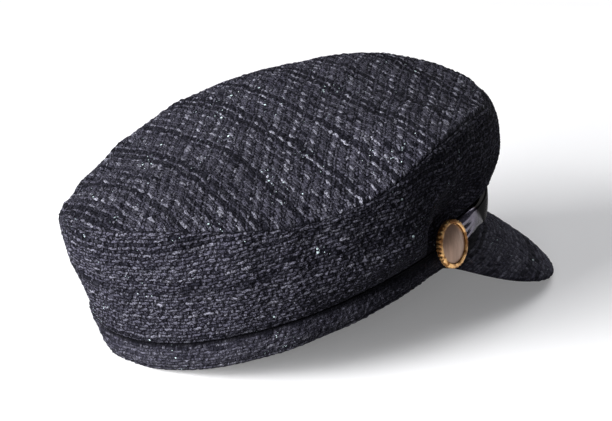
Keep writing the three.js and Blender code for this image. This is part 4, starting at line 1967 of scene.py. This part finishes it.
@dataclass
class Button:
    """One button: a milled metal cup and the satin face that lies in it. Its axis is Z while it is made."""

    shape: CapShape
    placement: Placement
    side: Side
    face_rings: int = 6
    face_dome: float = 1.3
    face_corners: int = 96
    face_thickness: float = 0.45
    face_margin: float = 0.4
    corners_per_tooth: int = 6
    shoulder: float = 0.9
    shoulder_steps: int = 4
    groove_power: float = 1.5
    back_slope: float = 0.9
    cup_rounding: float = 0.16
    face_rounding: float = 0.15
    # The lip from the shoulder inwards: the part of its width that each step takes, and how far it rises
    lip_steps: tuple = ((0.3, 0.12), (0.4, 0.05), (0.3, -0.45))
    smooth_angle: float = 32.0
    facing_step: float = 5.0

    def _place(self) -> Matrix:
        """The button's place on the strap's end.

        Returns:
            The place as a matrix, from the button's axis to the cap.
        """
        sizes, sign = self.shape.button, self.side.value
        angles = np.array((sizes.facing - self.facing_step, sizes.facing + self.facing_step)) * sign
        before, after = around(angles, self.shape.section("band", angles), np.zeros(2))
        outward = Vector((before[1] - after[1], after[0] - before[0], 0.0)) * sign
        outward = outward.normalized()
        outward.z = math.tan(math.radians(sizes.look_up))
        outward = outward.normalized()
        upward = (Vector((0.0, 0.0, 1.0)) - outward * outward.z).normalized()
        turn = Matrix((upward.cross(outward), upward, outward)).transposed().to_4x4()
        angle = np.array(sizes.angle * sign)
        radius = self.shape.section("band", angle) + sizes.stand_off
        centre = around(angle, radius, self.shape.section("low", angle) + sizes.height) * MM
        return self.placement.matrix() @ Matrix.Translation(Vector(centre)) @ turn

    def _finish(self, piece: bpy.types.Object, name: str, material: bpy.types.Material) -> bpy.types.Object:
        """Names a piece, gives it its material and puts it in its place.

        Args:
            piece: The object.
            name: Its name.
            material: The finish.

        Returns:
            The object.
        """
        piece.name = piece.data.name = name
        piece.data.materials.append(material)
        only(piece)
        bpy.ops.object.transform_apply(location=True, rotation=True, scale=True)
        bpy.ops.object.shade_smooth_by_angle(angle=math.radians(self.smooth_angle))
        apply_all(piece)
        piece.data.transform(self._place())
        face_out(piece)
        return piece

    def _drum(self, corners: int, radius: float, low: float, depth: float) -> bpy.types.Object:
        """Adds a drum on the button's axis, with its front face selected in edit mode.

        Args:
            corners: How many corners it has.
            radius: Its radius in millimetres.
            low: How far out its back lies, in millimetres.
            depth: Its depth in millimetres.

        Returns:
            The drum.
        """
        only_nothing()
        bpy.ops.mesh.primitive_cylinder_add(
            vertices=corners,
            radius=radius * MM,
            depth=depth * MM,
            location=(0.0, 0.0, (low + depth / 2) * MM),
        )
        piece = bpy.context.active_object
        bpy.ops.object.transform_apply(location=True, rotation=True, scale=True)
        select_faces(piece, lambda face: face.normal.z > 0.9)
        return piece

    def _draw_out(self, distance: float) -> None:
        """Extrudes the selected face along the axis, by millimetres."""
        bpy.ops.mesh.extrude_region_move(TRANSFORM_OT_translate={"value": (0.0, 0.0, distance * MM)})

    def rim(self, material: bpy.types.Material) -> bpy.types.Object:
        """Builds the cup: a drum is inset for its recess, stepped down behind and milled round its side.

        Args:
            material: The finish.

        Returns:
            The cup.
        """
        sizes = self.shape.button
        corners, depth = sizes.teeth * self.corners_per_tooth, sizes.lip_out - sizes.side_out
        piece = self._drum(corners, sizes.radius, sizes.side_out, depth)
        bpy.ops.mesh.bevel(offset=self.shoulder * MM, segments=self.shoulder_steps)
        select_faces(piece, lambda face: face.normal.z > 0.99)
        lip = (sizes.radius - sizes.face_radius - sizes.face_gap - self.shoulder) * MM
        for part, rise in self.lip_steps:
            bpy.ops.mesh.inset(thickness=lip * part, depth=rise * MM)
        lowered = sum(rise for _, rise in self.lip_steps)
        self._draw_out(sizes.floor_out - sizes.lip_out - lowered)
        select_faces(piece, lambda face: face.normal.z < -0.9)
        bpy.ops.mesh.inset(thickness=self.back_slope * MM, depth=(sizes.side_out - sizes.back_out) * MM)
        bpy.ops.mesh.inset(thickness=(sizes.radius - self.back_slope - sizes.shank_radius) * MM)
        self._draw_out(-sizes.back_out - sizes.shank_length)
        bpy.ops.object.mode_set(mode="OBJECT")
        self._mill(piece)
        round_edges(piece, self.cup_rounding * MM, 2, 28.0)
        apply_all(piece)
        return self._finish(piece, f"button_cup_{self.side.name.lower()}", material)

    def _mill(self, piece: bpy.types.Object) -> None:
        """Cuts the grooves between the teeth: the side is drawn in, and less and less up the shoulder.

        Args:
            piece: The object.
        """
        sizes = self.shape.button
        for vertex in piece.data.vertices:
            distance = math.hypot(vertex.co.x, vertex.co.y)
            share = min(1.0, max(0.0, 1 - (sizes.radius * MM - distance) / (self.shoulder * MM)))
            turn = math.atan2(vertex.co.y, vertex.co.x) / TURN * sizes.teeth
            groove = 0.5 - 0.5 * math.cos(turn * TURN)
            shrink = 1 - sizes.tooth_depth * share * groove**self.groove_power / sizes.radius
            vertex.co.x *= shrink
            vertex.co.y *= shrink

    def face(self, material: bpy.types.Material) -> bpy.types.Object:
        """Builds the satin face: a disc whose middle is raised ring by ring.

        Args:
            material: The finish.

        Returns:
            The face.
        """
        sizes = self.shape.button
        low = sizes.floor_out + sizes.face_gap
        piece = self._drum(self.face_corners, sizes.face_radius, low, self.face_thickness)
        width = sizes.face_radius / (self.face_rings + self.face_margin)
        for ring in range(self.face_rings):
            inner, outer = 1 - (ring + 1) / self.face_rings, 1 - ring / self.face_rings
            rise = self.face_dome * (outer**2 - inner**2)
            bpy.ops.mesh.inset(thickness=width * MM, depth=rise * MM)
        bpy.ops.mesh.poke()
        bpy.ops.object.mode_set(mode="OBJECT")
        round_edges(piece, self.face_rounding * MM, 2, 50.0)
        apply_all(piece)
        return self._finish(piece, f"button_face_satin_{self.side.name.lower()}", material)


@dataclass(frozen=True)
class Lamp:
    """A soft square light.

    Its way is given as parts of the picture's right, of up and of the way back to the camera. Its distance
    and its size are in metres and its power in watts.
    """

    name: str
    way: tuple
    distance: float
    power: float
    size: float


@dataclass(frozen=True)
class Studio:
    """The camera at the photo's angle, a pale floor and soft light."""

    azimuth: float = 235.1
    elevation: float = 19.19
    distance: float = 1.1
    pixels_per_radian: float = 2258.0
    target_pixel: tuple = (286.9, 179.3)
    target: tuple = (0.0, 0.0, 45.0)
    sensor_width: float = 36.0
    floor_size: float = 12.0
    floor_level: float = -0.0003
    floor_colour: tuple = (0.86, 0.86, 0.87)
    world_strength: float = 0.07
    world_colour: tuple = (0.84, 0.87, 1.0, 1.0)
    floor_glow: float = 0.2
    lamps: tuple = (
        Lamp("key", (-0.81, 0.325, 0.55), 1.9, 124.0, 1.4),
        Lamp("top", (0.15, 1.0, 0.0), 1.6, 5.0, 1.2),
        Lamp("side", (0.5, 0.6, -0.87), 1.7, 7.0, 1.0),
        Lamp("glint", (-0.22, 0.35, 1.0), 1.9, 3.6, 0.3),
    )

    def axes(self) -> tuple[Vector, Vector, Vector]:
        """The directions to the right in the picture, up in it and back towards the camera.

        Returns:
            The three directions.
        """
        turn, rise = math.radians(self.azimuth), math.radians(self.elevation)
        back = Vector((math.sin(turn) * math.cos(rise), -math.cos(turn) * math.cos(rise), math.sin(rise)))
        right = Vector((math.cos(turn), math.sin(turn), 0.0))
        return right, back.cross(right), back

    def camera(self, placement: Placement) -> None:
        """Makes the camera. It looks past the target, so that the target comes at its own pixel.

        Args:
            placement: Where the cap lies.
        """
        right, up, back = self.axes()
        target = Vector((np.array(self.target) + placement.offset) * MM)
        pixel = self.distance / self.pixels_per_radian
        aside = (PHOTO_WIDTH / 2 - self.target_pixel[0]) * pixel
        below = (PHOTO_HEIGHT / 2 - self.target_pixel[1]) * pixel
        place = target + back * self.distance
        aim = target + right * aside - up * below
        data = bpy.data.cameras.new("camera")
        data.sensor_width = self.sensor_width
        data.lens = self.pixels_per_radian * data.sensor_width / PHOTO_WIDTH
        camera = bpy.data.objects.new("camera", data)
        camera.location = place
        camera.rotation_euler = (aim - place).to_track_quat("-Z", "Y").to_euler()
        bpy.context.scene.collection.objects.link(camera)
        bpy.context.scene.camera = camera

    def floor(self) -> None:
        """Makes the pale floor."""
        only_nothing()
        bpy.ops.mesh.primitive_plane_add(size=self.floor_size, location=(0.0, 0.0, self.floor_level))
        floor = bpy.context.active_object
        floor.name = "floor"
        graph = Graph("pale_floor")
        graph.shade(
            Base_Color=self.floor_colour,
            Roughness=0.9,
            Specular_IOR_Level=0.2,
            Emission_Color=self.floor_colour,
            Emission_Strength=self.floor_glow,
        )
        floor.data.materials.append(graph.material)
        floor.visible_diffuse = False

    def light(self, lamp: Lamp) -> None:
        """Makes a soft light.

        Args:
            lamp: The light's sizes and place.
        """
        right, _, back = self.axes()
        flat_back = Vector((back.x, back.y, 0.0)).normalized()
        way = right * lamp.way[0] + Vector((0.0, 0.0, 1.0)) * lamp.way[1] + flat_back * lamp.way[2]
        data = bpy.data.lights.new(lamp.name, "AREA")
        data.energy = lamp.power
        data.size = lamp.size
        light = bpy.data.objects.new(lamp.name, data)
        light.location = way.normalized() * lamp.distance
        light.rotation_euler = way.to_track_quat("Z", "Y").to_euler()
        bpy.context.scene.collection.objects.link(light)

    def build(self, placement: Placement) -> None:
        """Makes the camera, the floor, the lights and the world.

        Args:
            placement: Where the cap lies.
        """
        self.camera(placement)
        self.floor()
        for lamp in self.lamps:
            self.light(lamp)
        world = bpy.data.worlds.new("studio")
        world.use_nodes = True
        background = world.node_tree.nodes["Background"]
        background.inputs["Color"].default_value = self.world_colour
        background.inputs["Strength"].default_value = self.world_strength
        bpy.context.scene.world = world
        bpy.context.scene.view_settings.view_transform = "Standard"


def keep(piece: bpy.types.Object, slot: Slot, *nodes: str) -> None:
    """Puts a finished piece on the cap in place of its solids, and reports it.

    Args:
        piece: The object.
        slot: Its material slot; not used.
        nodes: The solids that it stands for.
    """
    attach(piece, "root")
    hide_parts(*nodes)
    logger.info("%s: %d faces, for %s", piece.name, len(piece.data.polygons), ", ".join(nodes))


def tweeds(top_weave: Weave, side_weave: Weave) -> dict[str, bpy.types.Material]:
    """Makes the tweed of each cloth piece: one cloth, with the weave coarser and its lines bolder on top.
    Each piece's gain is painted light, which makes it lighter or darker as the light falls on it.

    Args:
        top_weave: The weave of the top panel.
        side_weave: The weave of the other pieces.

    Returns:
        The materials by the name of their piece.
    """
    top = Tweed(
        "top_tweed",
        pale_share=0.8,
        pale_strength=0.75,
        weave=top_weave,
        wander=2.2,
        thread_depth=0.0,
        line_strength=0.1,
        rear_fade=0.6,
        black_picks=2,
        painted_light_gain=1.2,
    )
    side = Tweed(
        "tweed",
        pale_share=0.7,
        pale_strength=0.28,
        weave=side_weave,
        brightest=(0.28, 0.275, 0.335),
        valley=(0.35, 0.9),
        base=0.1,
        crest=(0.45, 0.8),
        thread_depth=0.7,
        fibres=replace(Tweed.fibres, scale=1.4),
        warp_tone=0.85,
        pale_every=2,
        painted_light_gain=1.85,
    )
    finishes = {
        "side": side,
        # Copies for the band and the peak with their own gain and softness: painted light
        "band": replace(side, name="band_tweed", softness=0.3, pale_strength=0.2, painted_light_gain=1.62),
        "peak": replace(side, name="peak_tweed", softness=0.5, pale_strength=0.2, painted_light_gain=2.1),
        "top": top,
    }
    return {piece: finish.build() for piece, finish in finishes.items()}


def placed(shape: CapShape) -> Placement:
    """Where the cap lies, from the highest corner of the side wall's solid.

    Args:
        shape: The cap's shape.

    Returns:
        The placement.
    """
    angles = np.arange(SOLID_COLUMNS) * (360.0 / SOLID_COLUMNS)
    steps, angles = np.meshgrid(SOLID_STEPS, angles, indexing="ij")
    placement = Placement()
    placement.match(shape.wall(angles, steps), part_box("crown_side")[1])
    return placement


def main() -> None:
    """Builds the studio and the cap, piece by piece."""
    logging.basicConfig(level=logging.INFO, format="%(message)s", force=True)
    shape = CapShape()
    placement = placed(shape)
    Studio().build(placement)
    top_weave = Weave(dip=0.3)
    side_weave = Weave(pitch=1.75, pick_pitch=1.75, broken=True, lean=0.25)
    tweed = tweeds(top_weave, side_weave)
    side_surface = ClothSurface(side_weave)
    plain = Plain().build()
    crown = Crown(shape, placement, ClothSurface(top_weave), side_surface)
    keep(crown.top_panel((tweed["top"], plain)), Slot.TWEED, "crown_top")
    keep(crown.side_wall((tweed["side"], plain)), Slot.TWEED, "crown_side")
    keep(Headband(shape, placement, side_surface).build((tweed["band"], plain)), Slot.TWEED, "band")
    keep(Peak(shape, placement, side_surface).build((tweed["peak"], plain)), Slot.TWEED, "peak")
    keep(Strap(shape, placement).build(Patent().build()), Slot.PATENT, "strap")
    gold, enamel = Gold().build(), Enamel().build()
    for side in Side:
        button = Button(shape, placement, side)
        name = side.name.lower()
        keep(button.rim(gold), Slot.GOLD, f"button_rim_{name}")
        keep(button.face(enamel), Slot.ENAMEL, f"button_face_{name}")


if __name__ == "__main__":
    main()
